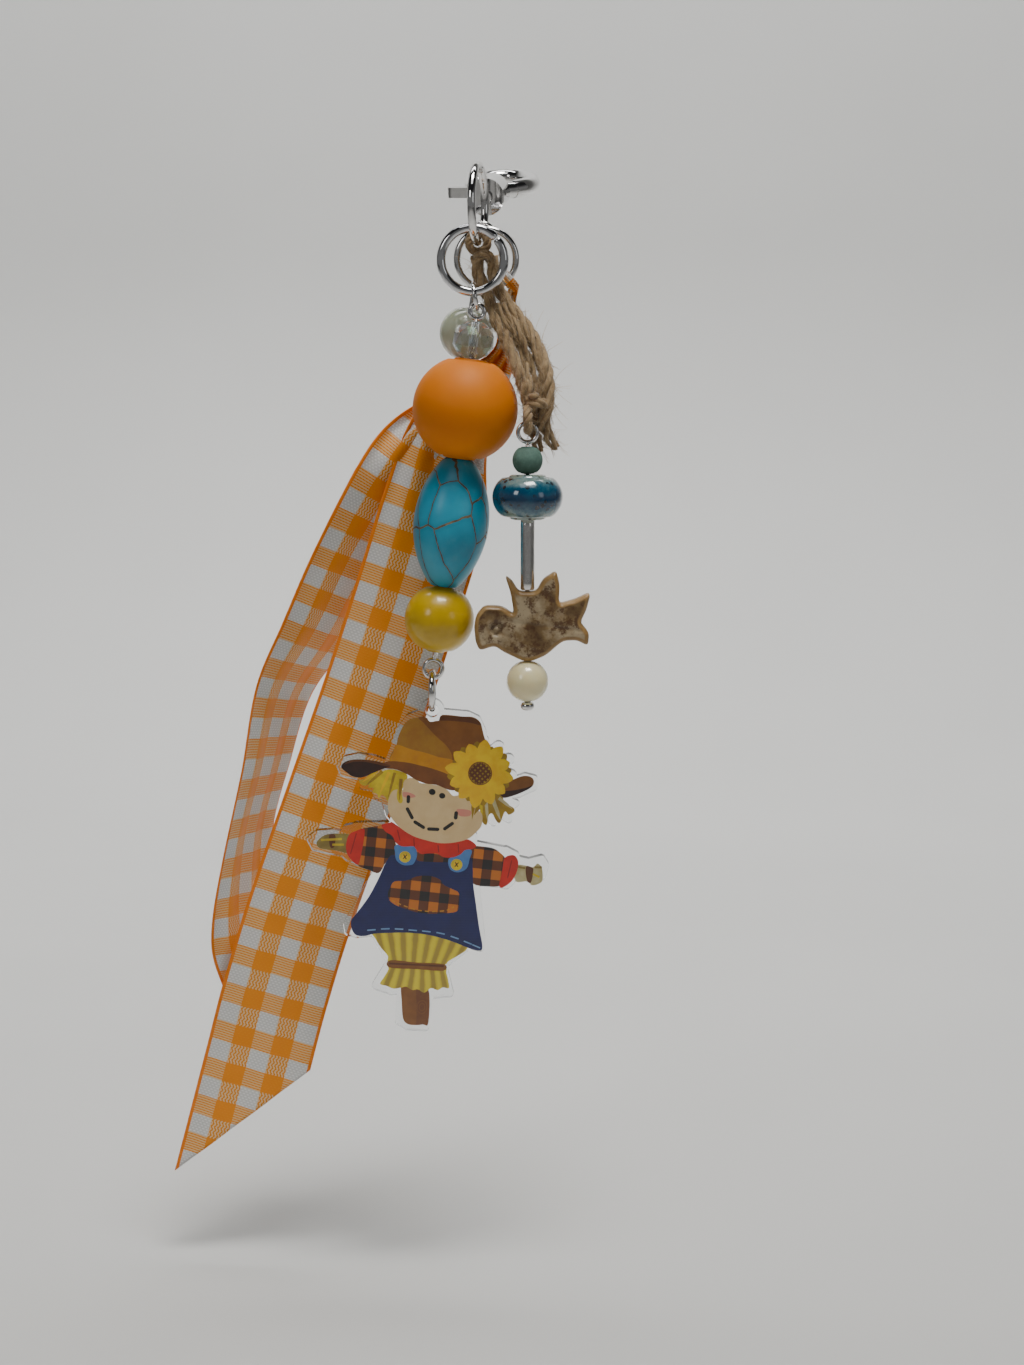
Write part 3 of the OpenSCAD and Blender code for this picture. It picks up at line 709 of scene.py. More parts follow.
def ribbon_tail(name, node, sections, left, right, ripple, start=0.0):
    """A tail of ribbon through sections [middle, half width, lean, twist], cut so that its left
    edge is `left` and its right edge `right` millimetres long. Where a section is narrower than
    the ribbon, the cloth lies in pleats."""
    folds, cols, rows = 3, 44, 150
    mids = [Vector(q[0]) for q in sections]
    run = [0.0]
    for a, b in zip(mids, mids[1:]):
        run.append(run[-1] + (b - a).length)
    table = [(s, (*m, *rest)) for s, m, (_, *rest) in zip(run, mids, sections)]
    verts, cloth = [], []
    for j in range(rows + 1):
        for i in range(cols + 1):
            f = i / cols
            s = (left + (right - left) * f) * j / rows
            *mid, half, lean, twist = between(table, s)
            lean, twist = radians(lean), radians(twist)
            side = Vector((cos(lean) * cos(twist), sin(twist),
                           -sin(lean) * cos(twist)))
            out = Vector((cos(lean) * sin(twist), -cos(twist),
                          -sin(lean) * sin(twist)))
            half = min(half, RIBBON_W / 2)
            # pleats: a wave whose slope takes up the spare width
            spare = sqrt(max((RIBBON_W / 2 / max(half, 0.5)) ** 2 - 1, 0))
            phase = folds * pi * (f - 0.5) * 2
            wave = min(spare, 2.2) * 2 * half / (folds * TAU) * 1.41 * sin(phase)
            wave += ripple(f, s)
            verts.append(Vector(mid) + side * half * (2 * f - 1) + out * wave)
            cloth.append((f * RIBBON_W, s + start, 0.0))
    return ribbon_piece(name, node, verts, cloth, rows + 1, 0.18, 0)


FRONT = [[(1.2, -13.1, -21.6), 1.2, 10, 0], [(0.6, -12.3, -25), 1.7, 20, 0],
         [(-3.2, -11.4, -30), 4, 26, 0], [(-7.2, -11.2, -36.4), 5.9, 24, 0],
         [(-9.4, -11.2, -46.6), 7.7, 20, 0], [(-12.9, -11.4, -58.5), 8, 19, 0],
         [(-18, -11.8, -74), 8, 20, 0], [(-24, -12.2, -91), 8, 19, 0],
         [(-30.2, -12.4, -108.6), 8, 17, 0], [(-34, -12.5, -121), 8, 16, 0],
         [(-36.3, -12.5, -129.6), 8, 16, 0]]
BACK = [[(-1.2, -10.2, -30.8), 4.4, 30, 0], [(-9.5, -9.9, -38.1), 6.8, 38, 0],
        [(-14.85, -9.4, -45.2), 8, 34, 25], [(-20.3, -8.8, -54.3), 8, 26, 38],
        [(-27.4, -7.6, -66), 8, 28, 52], [(-32.7, -6.9, -75), 8, 22, 62],
        [(-35.4, -7.2, -87.2), 8, 12, 67], [(-37.75, -7.6, -99.5), 8, 9, 69],
        [(-38.2, -8, -112), 8, 6, 55], [(-34.8, -5.8, -120.5), 8, 2, 25]]


def front_ripple(f, s):
    return 0.35 * sin(s * 0.09 + 2.0 * f) * min(s / 30, 1) - 0.3 * (2 * f - 1) ** 2


def back_ripple(f, s):
    fold = exp(-((s - 42) / 9) ** 2)
    return 0.5 * sin(s * 0.13 + 1.2 * f) + 1.0 * fold * sin(3.1 * f + 0.4)


front_tail = ribbon_tail("ribbon_front_tail", "ribbon_front", FRONT, FRONT_LEFT, FRONT_RIGHT,
                         front_ripple)
back_tail = ribbon_tail("ribbon_back_tail", "ribbon_back", BACK, BACK_LENGTH, BACK_LENGTH,
                        back_ripple, start=1.5)


def ribbon_gather():
    """The ribbon bunched round its ring: a pleated rope of cloth that spreads into the tails."""
    path = [RIBBON_LOOP + 1.3 * Vector(p) for p in
            ((0.5, 0.75, -0.5), (0.1, 0.95, 0.1), (-0.35, 0.6, 0.5), (-0.6, 0.0, 0.65),
             (-0.45, -0.7, 0.5), (0.15, -1.0, -0.1), (0.65, -0.55, -0.65), (0.75, 0.1, -0.85))]
    path += [(1.75, -14.3, -17.2), (1.45, -13.8, -18.8), (1.2, -13.3, -20.6), (1.15, -12.9, -22.2)]
    path = smooth_path(path, 0.22, per=10)
    n, lobes = len(path), 10
    sides = 8 * lobes
    verts, cloth = [], []
    for i, (_, a, b) in enumerate(frames(path)):
        f = i / (n - 1)
        spread = max(0, (f - 0.6) / 0.4)
        for k in range(sides + 1):
            angle = TAU * 0.97 * k / sides
            fold = 0.5 - 0.5 * cos(lobes * angle + 0.4 * sin(3 * f))
            uneven = 1 + 0.18 * sin(2.7 * angle + 4 * f)
            r = 0.20 + 0.56 * fold * uneven + 0.15 * spread * fold
            wide = 1 + 0.9 * spread
            verts.append(path[i] + (cos(angle) * a * wide
                                    + sin(angle) * b * (1 - 0.45 * spread)) * r)
            cloth.append((RIBBON_W * k / sides, f * GATHER_LENGTH - GATHER_LENGTH, 0))
    return ribbon_piece("ribbon_gather_cloth", "ribbon_gather", verts, cloth, n, 0.05, -1)


gathered = ribbon_gather()

# ---- metals
for node, material in {"clasp_body": SILVER, "lever_rivet": SILVER, "lever_spring": SPRING_METAL,
                       "clasp_lever": SILVER, "swivel_eye": SILVER}.items():
    me = NODES[node].data
    me.materials.clear()
    me.materials.append(material)


def split_ring(r, wire, gap, start):
    """A jump ring with a cut in it, about +Y, with softened ends."""
    steps = 120
    path = []
    for i in range(steps + 1):
        a = start + gap / r / 2 + (TAU - gap / r) * i / steps
        path.append(Vector((r * sin(a), 0, -r * cos(a))))
    ends = [max(0, 1 - min(i, steps - i) / 1.5) for i in range(steps + 1)]
    return tube(path, [wire * (1 - 0.25 * e) for e in ends], 20)


CHARM_RING_AT = TOP_LOOP + (51.35 + 1.3) * down(-LEAN) + 1.85 * down(0)
for name, sizes, lean, edge_on, at, body, slot, material, node in (
        ("big_jump_ring", (4.45, 0.65, 0.12, 2.3), 0, False, BIG_AT,
         "big_ring", "gunmetal_ring", RING_METAL, "big_ring"),
        ("ribbon_jump_ring", (4.2, 0.5, 0.1, 3.6), 0, False, RIBBON_RING_AT,
         "ribbon", "silver", SILVER, "ribbon_ring"),
        ("strand_jump_ring", (1.8, 0.3, 0.08, 1.6), 10, True, STRAND_RING_AT,
         "strand_ring", "silver", SILVER, "strand_ring"),
        ("charm_jump_ring", (2.7, 0.45, 0.1, 2.0), 0, True, CHARM_RING_AT,
         "charm_ring", "silver", SILVER, "charm_ring")):
    turn = Matrix.Rotation(radians(-lean), 3, "Y")
    if edge_on:
        turn = turn @ Matrix.Rotation(radians(90), 3, "Z")
    verts, faces = split_ring(*sizes)
    piece(name, ([turn @ v + at for v in verts], faces), body, material, (node,))


def whole_loop_pin(top, r1, low, r2, radius):
    """A pin with a whole loop at the top and a whole loop or nothing at the foot."""
    parts = []
    for centre, r in ((top, r1), (low, r2)):
        if r:
            turns = [TAU * i / 56 for i in range(56)]
            ring = [Vector((r * sin(a), 0, centre + r * cos(a))) for a in turns]
            parts.append(tube(ring, radius, 16, closed=True))
    z0, z1 = top - r1, low + r2
    stem = [Vector((0, 0, z)) for z in (z0 + 0.02, (z0 + z1) / 2, z1 - 0.02)]
    return join(parts + [tube(stem, radius, 16)])


def metal_piece(name, shape, body, node):
    piece(name, shape, body, SILVER, (node,))


pin = whole_loop_pin(0, 1.0, -51.35, 1.3, 0.35)
metal_piece("strand_eye_pin", placed(pin, TOP_LOOP, STRAND_UP), "strand", "strand_pin")
pin = whole_loop_pin(-35.8, 1.35, -75.4, 0, 0.3)
metal_piece("leaf_headpin", placed(pin, leaf_at(0)), "leaf_dangle", "leaf_pin")
PALE_DIR = (PALE_AT - PALE_FROM).normalized()
PALE_LOOP = PALE_FROM + 0.2 * PALE_DIR
foot = -(PALE_AT + 4.4 * PALE_DIR - PALE_LOOP).length
head = lathe([(0.0, -0.42), (0.42, -0.38), (0.6, -0.1), (0.52, 0.22), (0.3, 0.4), (0.0, 0.42)], 32)
pin = join([whole_loop_pin(0, 1.5, foot, 0, 0.3), placed(head, Vector((0, 0, foot)))])
metal_piece("pale_headpin", placed(pin, PALE_LOOP, -PALE_DIR), "pale_dangle", "pale_pin")


# ---- beads
def bead(name, node, size, material, at, up=Vector((0, 0, 1)), bore=0.36, lip=0.3):
    """A drilled bead of a (radius, height, ball) size: its outside is an arc of a ball, with
    softened rims."""
    radius, h, ball = size
    half, steps = h / 2, 40
    heights = [-half + h * i / steps for i in range(steps + 1)]
    out = [(radius - ball + sqrt(max(ball * ball - z * z, 0)), z) for z in heights]
    rim = out[-1][0]
    lip = min(lip, 0.45 * (rim - bore))
    curve = [(r, z) for r, z in out if abs(z) < half - 0.6 * lip]
    top = [(max(rim - lip * (1 - cos(a)), bore), half - lip * 0.6 * (1 - sin(a)))
           for a in [pi / 2 * k / 4 for k in range(5)]]
    top += [(bore + lip * 0.5, half), (bore + 0.08, half - 0.06), (bore, half - 0.2)]
    low = [(r, -z) for r, z in reversed(top)]
    body, slot = node.removesuffix("_bead"), SLOTS.get(node, node.removesuffix("_bead"))
    piece(name, placed(lathe(low + curve + top, 80), at, up), body, material, (node,))


def on_strand(s):
    return TOP_LOOP + s * down(-LEAN)


SLOTS = {"orange_bead": "silicone_orange", "yellow_bead": "glaze_yellow",
         "rondelle_bead": "glaze_teal", "pale_bead": "pale_green"}
OVAL_BALL = (9.2 ** 2 + 3.4 ** 2) / (10.8 - 4)
bead("orange_silicone_bead", "orange_bead", (7.5, 14.2, 7.5), silicone(), on_strand(13.75),
     STRAND_UP, 0.4, 0.5)
bead("turquoise_oval", "turquoise_bead", (5.4, 18.4, OVAL_BALL), turquoise(), on_strand(30.05),
     STRAND_UP, 0.4)
bead("yellow_glazed_bead", "yellow_bead", (5.0, 9.6, 5.0), yellow_glaze(), on_strand(44.05),
     STRAND_UP, 0.4, 0.5)
bead("sage_clay_bead", "sage_bead", (2.15, 3.8, 2.15), matt_clay(), leaf_at(-39.7))
bead("teal_rondelle", "rondelle_bead", (5.0, 6.4, 3.35), rondelle_glaze(), leaf_at(-44.9), lip=0.6)
bead("pearly_cream_bead", "cream_bead", (3.0, 5.9, 3.0),
     pearl("cream_pearl", (0.76, 0.66, 0.36), (0.86, 0.79, 0.52)), leaf_at(-71.2))
bead("pale_green_bead", "pale_bead", (3.9, 7.4, 3.9),
     pearl("pale_stone", (0.50, 0.54, 0.40), (0.62, 0.64, 0.50), 0.25), PALE_AT, -PALE_DIR)

# the silver tube, and the soft crimp that is squeezed onto the headpin's end
r, bore, half = 1.0, 0.37, 5.0
wall = [(bore, half - 0.12), (bore + 0.12, half), (r - 0.14, half), (r, half - 0.14)]
wall += [(r, half - 1 - 8 * k / 12) for k in range(13)] + [(q, -z) for q, z in reversed(wall)]
piece("silver_tube", placed(lathe(wall, 48), leaf_at(-53.1)), "tube",
      metal("tube_silver", (0.88, 0.86, 0.84), 0.16, 0.02), ("tube_bead",))
outer = [(0.45 + 0.55 * cos(a), 0.6 * sin(a))
         for a in [radians(85 - 10 * k) for k in range(18)]]
crimp = lathe([(0.3, 0.58), *outer, (0.3, -0.58)], 40)
metal_piece("crimp_bead", placed(crimp, leaf_at(-74.8)), "leaf_dangle", "end_crimp")


def crystal_bead():
    """Rings of flat facets round a drilled glass ball."""
    n, r, h, bore = 12, 3.0, 5.2, 0.42
    # (height, radius) as shares, and whether the corners lie between those of the even rings
    levels = [(-0.5, 0.40, 0), (-0.36, 0.76, 1), (-0.16, 0.97, 0), (0.16, 0.97, 1),
              (0.36, 0.76, 0), (0.5, 0.40, 1)]
    verts, faces = [], []
    for z, radius, odd in [(z, f * r, odd) for z, f, odd in levels] + [(-0.5, bore, 0),
                                                                      (0.5, bore, 1)]:
        for k in range(n):
            a = TAU * (k + 0.5 * odd) / n
            verts.append(Vector((radius * cos(a), radius * sin(a), z * h)))
    for i in range(len(levels) - 1):
        for k in range(n):
            a, b = i * n + k, i * n + (k + 1) % n
            c, d = a + n, b + n
            faces += [(a, b, d), (a, d, c)] if levels[i][2] else [(a, b, c), (b, d, c)]
    last = (len(levels) - 1) * n
    low = last + n
    top = low + n
    for k in range(n):
        q = (k + 1) % n
        faces += [(q, k, low + k, low + q), (last + k, last + q, top + q, top + k),
                  (low + k, low + q, top + q, top + k)]
    piece("faceted_crystal", placed((verts, faces), on_strand(1.45 + 2.6), STRAND_UP), "crystal",
          crystal(), ("crystal_bead",), smooth=False)


crystal_bead()


# ---- leaf
def ceramic_leaf():
    """A fine grid over the leaf, pushed into relief by its distance from the edge."""
    outline = [(-7.2, -61.5), (-6.1, -60.3), (-3.6, -60.4), (-1.9, -61.6), (-2.4, -58.4),
               (-3.2, -56), (-2.2, -56.7), (-1.25, -58.3), (1.25, -58.3), (2.2, -56.5),
               (4.1, -55.3), (4.6, -57.4), (4.4, -60.1), (6.8, -59.4), (9, -58.4), (8.4, -60.8),
               (7.5, -62.7), (8.8, -64.2), (8.6, -66), (7, -65.2), (5, -65.3), (2.6, -67.4),
               (0.6, -68.2), (-0.6, -68.2), (-3.2, -67), (-4.7, -66), (-6.8, -66.7),
               (-7.4, -65.4), (-7.6, -63)]
    half, step, edge_gap = 1.5, 0.22, 0.17
    edge = [Vector(p) for p in outline]
    ring = []
    for i, b in enumerate(edge):
        a, c = edge[i - 1], edge[(i + 1) % len(edge)]
        p = b + (a - b) * min(0.32, 0.9 / (a - b).length)
        q = b + (c - b) * min(0.32, 0.9 / (c - b).length)
        for t in [k / 4 for k in range(5)]:
            ring.append((1 - t) ** 2 * p + 2 * t * (1 - t) * b + t * t * q)
    count = len(ring)

    def inside(x, z):
        hit = False
        for i in range(count):
            a, b = ring[i], ring[i - 1]
            if (a.y > z) != (b.y > z) and x < (b.x - a.x) * (z - a.y) / (b.y - a.y) + a.x:
                hit = not hit
        return hit

    def edge_distance(x, z):
        best = 1e9
        p = Vector((x, z))
        for i in range(count):
            a, b = ring[i - 1], ring[i]
            ab = b - a
            t = max(0, min(1, (p - a).dot(ab) / max(ab.length_squared, 1e-12)))
            best = min(best, (a + ab * t - p).length)
        return best

    points = list(ring)
    for x in [i * step for i in range(-36, 42)]:
        for z in [i * step for i in range(-312, -248)]:
            if inside(x, z) and edge_distance(x, z) > edge_gap:
                points.append(Vector((x, z)))
    edges = [(i, (i + 1) % count) for i in range(count)]
    pts, _, tris, _, _, _ = delaunay_2d_cdt(points, edges, [list(range(count))], 1, 1e-5)
    verts, mask = [], []
    hole = Vector((-4.4, -63.6))
    dist = [edge_distance(p.x, p.y) for p in pts]
    for side in (-1, 1):
        for p, d in zip(pts, dist):
            roll = min(d / 0.85, 1)
            y = half * (0.62 + 0.38 * sqrt(1 - (1 - roll) ** 2))
            lump = (0.10 * noise.noise(Vector((p.x * 0.9, p.y * 0.9, side)))
                    + 0.05 * noise.noise(Vector((p.x * 2.7, p.y * 2.7, side + 4))))
            y += min(d, 1) * (lump - 0.08)
            if side < 0:
                # a round imprint, and a vein along the middle
                y -= 0.5 / (1 + exp((abs((p - hole).length - 0.62) - 0.3) * 12))
                vein = abs(p.x * 0.12 + p.y + 62.9)
                y -= 0.10 * exp(-(vein / 0.22) ** 2) * (1 if p.x > -2.5 else 0)
            # the headpin's bore shows as a low swelling
            y = max(y, 0.5) if abs(p.x) > 0.6 else max(y, 0.9)
            verts.append(Vector((p.x, side * min(y, half), p.y)) + leaf_at(0))
            mask.append(1 - min(d / 1.15, 1))
    back = len(pts)
    faces = []
    for t in tris:
        faces += [tuple(t), tuple(back + i for i in reversed(t))]
    faces += [(a, back + a, back + b, b) for a, b in edges]
    o = piece("ceramic_leaf", (verts, faces), "leaf", leaf_clay(), ("leaf_bead",))
    point_values(o.data, "rim", mask)


ceramic_leaf()

# ---- printed figure
# Outlines of the upright figure: each name, then its points' X,Z in millimetres from the
# hanging hole
FIGURE = """
crown -5.2,-8 -4.6,-5.5 -4.5,-4.5 -4.2,-3.4 -3.8,-2.4 -3.1,-1.6 -1.8,-1.1 -0.5,-0.8 0.7,-0.5
2.5,-0.3 4.4,-0.3 5.7,-0.2 6.5,-0.4 7.2,-1 7.6,-2.1 8.2,-3.5 9.3,-4.7 11.2,-7.4 11.3,-9.4 9.4,-10.9
5.7,-11.3 3.4,-10.3 -0.9,-8.5
shade -1.8,-1.1 -1.1,-1.8 -0.2,-2.6 1.1,-3.7 2.5,-4.7 3.4,-5.8 3.8,-6.9 5.3,-7.8 9.5,-6.3 8.5,-3.1
7.8,-1.9 7.3,-0.4 5.6,0.1 0.7,-0.3
rim_dark -0.5,-1 0.7,-0.7 3.2,-0.4 5.4,-0.3 6.7,-0.6 7.3,-1.3 5.8,-1.1 3.3,-1.1 1.1,-1.3 -0.1,-1.6
band -4.6,-5.5 -2.5,-5.9 -0.2,-6.2 1.7,-6.6 3.7,-6.8 3.6,-7.9 3.3,-9 1,-8.4 -1,-8.1 -2.9,-7.9
-5.3,-8 -4.9,-6.7
brim -6.6,-8.7 -5.3,-8 -2.9,-7.9 -1,-8.1 1,-8.4 3.3,-9 4.9,-10.1 4.7,-11.1 3.5,-11.2 1.8,-10.7
0.3,-10.7 -1.2,-10.3 -2.7,-9.6 -4.3,-9.1 -5.9,-9.1
left_brim -12.2,-9.5 -11.8,-8.9 -10.7,-8.4 -9.1,-8.2 -7.6,-8.2 -6,-8.4 -5.1,-8.7 -5.9,-9.1 -6.8,-9.6
-7.7,-10.1 -8.5,-10.6 -9.4,-10.9 -10.5,-10.8 -11.4,-10.3 -12,-9.9
left_rim -11.9,-9.2 -10.7,-8.4 -9.1,-8.2 -7.6,-8.2 -6,-8.4 -5,-8.7 -5.9,-8.8 -7.5,-8.6 -9.1,-8.5
-10.5,-8.7 -11.5,-9.1
right_brim 10.8,-9.6 12.5,-8.8 13.8,-8.1 14.9,-7.9 15.6,-8.2 15.8,-8.8 15.5,-9.5 14.4,-10.3
12.9,-11.1 11.7,-11.5 11,-11
right_under 11,-10.7 13.1,-10.2 14.6,-9.7 15.9,-9.1 15.6,-9.6 14.4,-10.3 12.9,-11.2 11.7,-11.6
10.9,-11.4
hair_l -9.4,-11.4 -7.9,-10.7 -6.6,-9.8 -5.2,-9.2 -3.7,-9.3 -2.5,-9.8 -2.8,-11 -3.1,-12.3 -2.8,-13.6
-3.2,-14.1 -3.6,-13.7 -4.2,-13.1 -4.5,-13.4 -4.8,-14.1 -5.3,-13.4 -5.9,-13 -6.3,-13.6 -6.6,-13
-7.3,-12.8 -7.2,-12.2 -8.1,-12.2 -7.8,-11.8 -8.7,-12
hair_r 4.3,-11.1 5.6,-11 10,-10.8 11.5,-11.4 11.9,-12.3 13.1,-12.7 13.5,-13.3 12.7,-13.9 12.1,-13.5
11.6,-15.2 11,-15 10.3,-14 9.8,-14.4 9.7,-15.7 9.1,-15.5 8.7,-14.4 8.4,-13.6 8.1,-14.4 7.6,-15.6
7.4,-14.4 7.8,-13 7,-12 5.7,-11.6
face -3,-12 -3,-11 -2.7,-10.4 -2,-10.1 -1.1,-10.2 -0.6,-10.7 0.6,-10.7 2.2,-10.8 3.5,-11.3 4.3,-12
5,-11.9 5.9,-11.7 6.8,-11.8 7.5,-12.4 7.8,-13.2 7.7,-14.5 8.3,-13.8 8.9,-14.4 9,-15.5 8.8,-16.3
8.2,-17.1 7.5,-17.9 6.4,-18.5 4.8,-19 3.1,-19.2 1.2,-19 -0.7,-18.6 -2.4,-17.8 -3.7,-16.8 -4.6,-15.6
-4.9,-14.3 -4.8,-13.2 -4.4,-12.3 -3.7,-12
hair_over -3.7,-11.9 -3,-11 -3.1,-12.3 -2.8,-13.6 -3.2,-14 -3.7,-13.3
cheek_l -2.9,-12.3 -1.8,-12.3 -1,-12.7 -1.6,-13 -2.7,-13
cheek_r 5.2,-13.9 7.1,-13.9 7.1,-14.7 5.8,-14.9 5.3,-14.5
collar -5.5,-17.5 -4.5,-17.1 -4,-16.9 -2.7,-17.6 -0.7,-18.6 1.2,-19 3.1,-19.2 4.8,-19 6.4,-18.5
7.3,-18.2 8.5,-18.9 8.1,-19.5 7,-19.8 6.4,-20.5 5.3,-21.1 4,-21.2 3,-20.8 1.7,-20.9 0.6,-21.1
-0.2,-20.4 -0.6,-20.1 -2.1,-20.3 -3.1,-19.9 -3.8,-18.9 -4.8,-18.4
slv_l -8.5,-18.5 -7.1,-18 -5.3,-17.7 -3.8,-18.9 -3.1,-20.1 -2.9,-21.9 -4.2,-22.8 -5.1,-24.6
-6.7,-24.3 -8.4,-23.7 -8.8,-21.4 -8.6,-19.4
slv_r 7.6,-19.6 8,-19.1 9.4,-19 11.1,-19.1 12.2,-19.7 12.9,-20.4 12.9,-22.2 12.7,-24.4 10.7,-24.8
8.8,-24.7 8.3,-23.4 7.8,-21.5
cuff_l -9.1,-18.8 -8,-18.3 -7.8,-19.3 -7.9,-21.3 -8.2,-23.6 -9,-23.4 -9.9,-22.5 -10.3,-21.3
-10.2,-19.9 -9.8,-19.2
cuff_r 12.8,-20.4 13.7,-19.8 14.4,-19.9 14.9,-20.8 14.8,-22.3 14.2,-23.7 13.1,-24.7 12.5,-24.5
12.7,-22.2
hand_l -9.7,-19.6 -11.6,-19.5 -12.5,-19.6 -13.5,-19.9 -14.3,-20.6 -14.6,-21.3 -14.1,-21.9 -12.9,-22
-11.6,-22 -9.4,-22.1
hand_r 14.5,-21.3 16.1,-21.1 17.1,-21.2 17.7,-20.6 18.4,-21.2 18.7,-22.9 18.2,-23.6 17.2,-23.9
16.5,-23.4 14.8,-23.6
tie_l -12.9,-19.9 -12.5,-19.6 -12,-19.8 -11.9,-20.7 -12,-21.5 -12.4,-21.7 -12.7,-21.2
tie_r 16.1,-21.2 17,-21.3 17.2,-21.7 17.1,-23.4 16.6,-23.5 16.2,-22.5
blouse -0.5,-20.2 1.7,-20.2 5.5,-20.4 5.6,-21.9 0,-22.4
dress -3.5,-21.7 -2.2,-22 -0.1,-21.6 0.6,-22.2 4.7,-21.9 6.2,-21.7 7.9,-20.8 8.4,-22.4 8.7,-24.6
9.5,-27.8 10.3,-31 11.1,-33.8 10.7,-34.5 9.2,-34.3 6.3,-33.5 3.1,-33 0,-33 -3.1,-33.4 -4.8,-33.7
-6.2,-34.2 -7.5,-34.2 -8.2,-33.3 -8.4,-32.1 -7.8,-31.1 -6.2,-28.3 -5,-25.2 -4.3,-23
strap_l -3.1,-20.2 -0.7,-20 0.1,-21.1 -0.2,-22.6 -1,-23 -1.9,-23 -2.8,-22.4 -3.1,-21.3
strap_r 6.2,-19.7 7.9,-19.7 7.8,-21 7.5,-22.5 6.4,-23.2 5.3,-23 4.8,-22.2 4.8,-21.3 5.6,-20.9
pocket -3.5,-27.5 -3.2,-26.4 -2.7,-25.6 -1.1,-25.3 0.4,-24.5 2.1,-24.2 3.7,-24.5 4.5,-25.3 5.8,-25.8
6.8,-26.3 7,-28.1 6.8,-29 5.6,-29.4 3.1,-29.8 0.9,-29.8 -1.1,-29.4 -2.4,-29 -3.2,-28.4
straw_up -5,-33.5 -1.6,-32.8 1.8,-32.6 5.6,-32.8 8.7,-33.6 8.8,-34.6 7.8,-35.5 6.4,-36.6 5.8,-37.2
2.4,-37.7 -2.1,-37.8 -2.5,-36.8 -3.7,-35.6 -4.6,-34.4
straw_low -2,-38.1 2.4,-37.9 5.9,-37.5 6.3,-38.4 6.7,-39.5 6.9,-40.6 6,-40.6 5.3,-41.1 4.3,-40.9
3.4,-41.7 2.4,-41.3 1.6,-41.5 0.7,-41.1 0,-41.3 -1.2,-41.6 -2.2,-41.3 -3.2,-41.1 -2.7,-40 -2.2,-38.8
tie_w -2.1,-37.4 1.7,-37.3 5.8,-37.1 5.8,-38.1 1.9,-38.3 -2.1,-38.5
post -0.1,-41 0.8,-40.7 3.8,-40.7 4.5,-46.1 3.7,-46.5 2.8,-46.7 1.5,-46.7 0.7,-45.9 0.2,-43.2
post_dark -0.1,-41 0.9,-40.8 2,-41 2.7,-46.6 1.5,-46.7 0.6,-45.9 0.2,-43.2
"""
OUTLINES = {}
for word in FIGURE.split():
    if word[0].isalpha():
        points = OUTLINES.setdefault(word, [])
    else:
        points.append(tuple(float(v) for v in word.split(",")))


def deeper(colour, power=1.25):
    return tuple(0.96 * c ** power for c in colour) + (1,)


def ink(name, first, second, spread=0.5, hatch=0.0):
    """Printing ink under a gloss coat: two tones in soft clouds, with a fine hatch."""
    m = Nodes("ink_" + name)
    first, second = deeper(first), deeper(second)
    clouds = m.noise(380, 4, 0.6)
    colour = m.mix(m.ramp(clouds, (spread - 0.12, 0), (spread + 0.12, 1)), first, second)
    if hatch:
        lines = m.fit(m.math("SINE", m.times(m.parts(m.where())[2], 16000.0)), 0.5, 0.5)
        colour = m.mix(m.times(lines, hatch), colour, m.mix(0.15, first, (0.4, 0.6, 1)))
    return printed(m, colour)


def printed(m, colour):
    m.set(Base_Color=colour, Roughness=0.35, Coat_Weight=1.0, Coat_Roughness=0.05,
          Normal=m.bump(m.noise(160, 2), 0.05, 0.0002))
    return m.material


def plaid():
    """Orange and black checks, in the figure's own directions."""
    m = Nodes("ink_plaid")
    x, _, z = m.parts(m.attribute("art")["Vector"])

    def dark(value, offset):
        return m.math("GREATER_THAN", m.math("FRACT", m.fit(value, 1 / 2.86, offset)), 0.5)

    across, along = dark(x, 0.1), dark(z, 0.3)
    either = m.math("MAXIMUM", across, along)
    colour = m.mix(either, (0.55, 0.155, 0.006), (0.12, 0.03, 0.005))
    return printed(m, m.mix(m.times(across, along), colour, (0.010, 0.008, 0.008)))


def straw_ink():
    """Yellow and tan stripes that fan out from the tie."""
    m = Nodes("ink_straw")
    x, _, z = m.parts(m.attribute("art")["Vector"])
    wide = m.fit(m.math("ABSOLUTE", m.math("ADD", z, 37.8)), 0.085, 1.0)
    across = m.math("DIVIDE", m.math("ADD", x, -1.7), wide)
    wave = m.math("SINE", m.times(across, 4.6))
    wave = m.math("ADD", wave, m.fit(m.noise(700, 3), 1.2, -0.6))
    return printed(m, m.ramp(m.fit(wave, 0.4, 0.5), (0.25, (0.38, 0.27, 0.03)),
                             (0.5, (0.62, 0.47, 0.02)), (0.8, (0.76, 0.62, 0.02))))


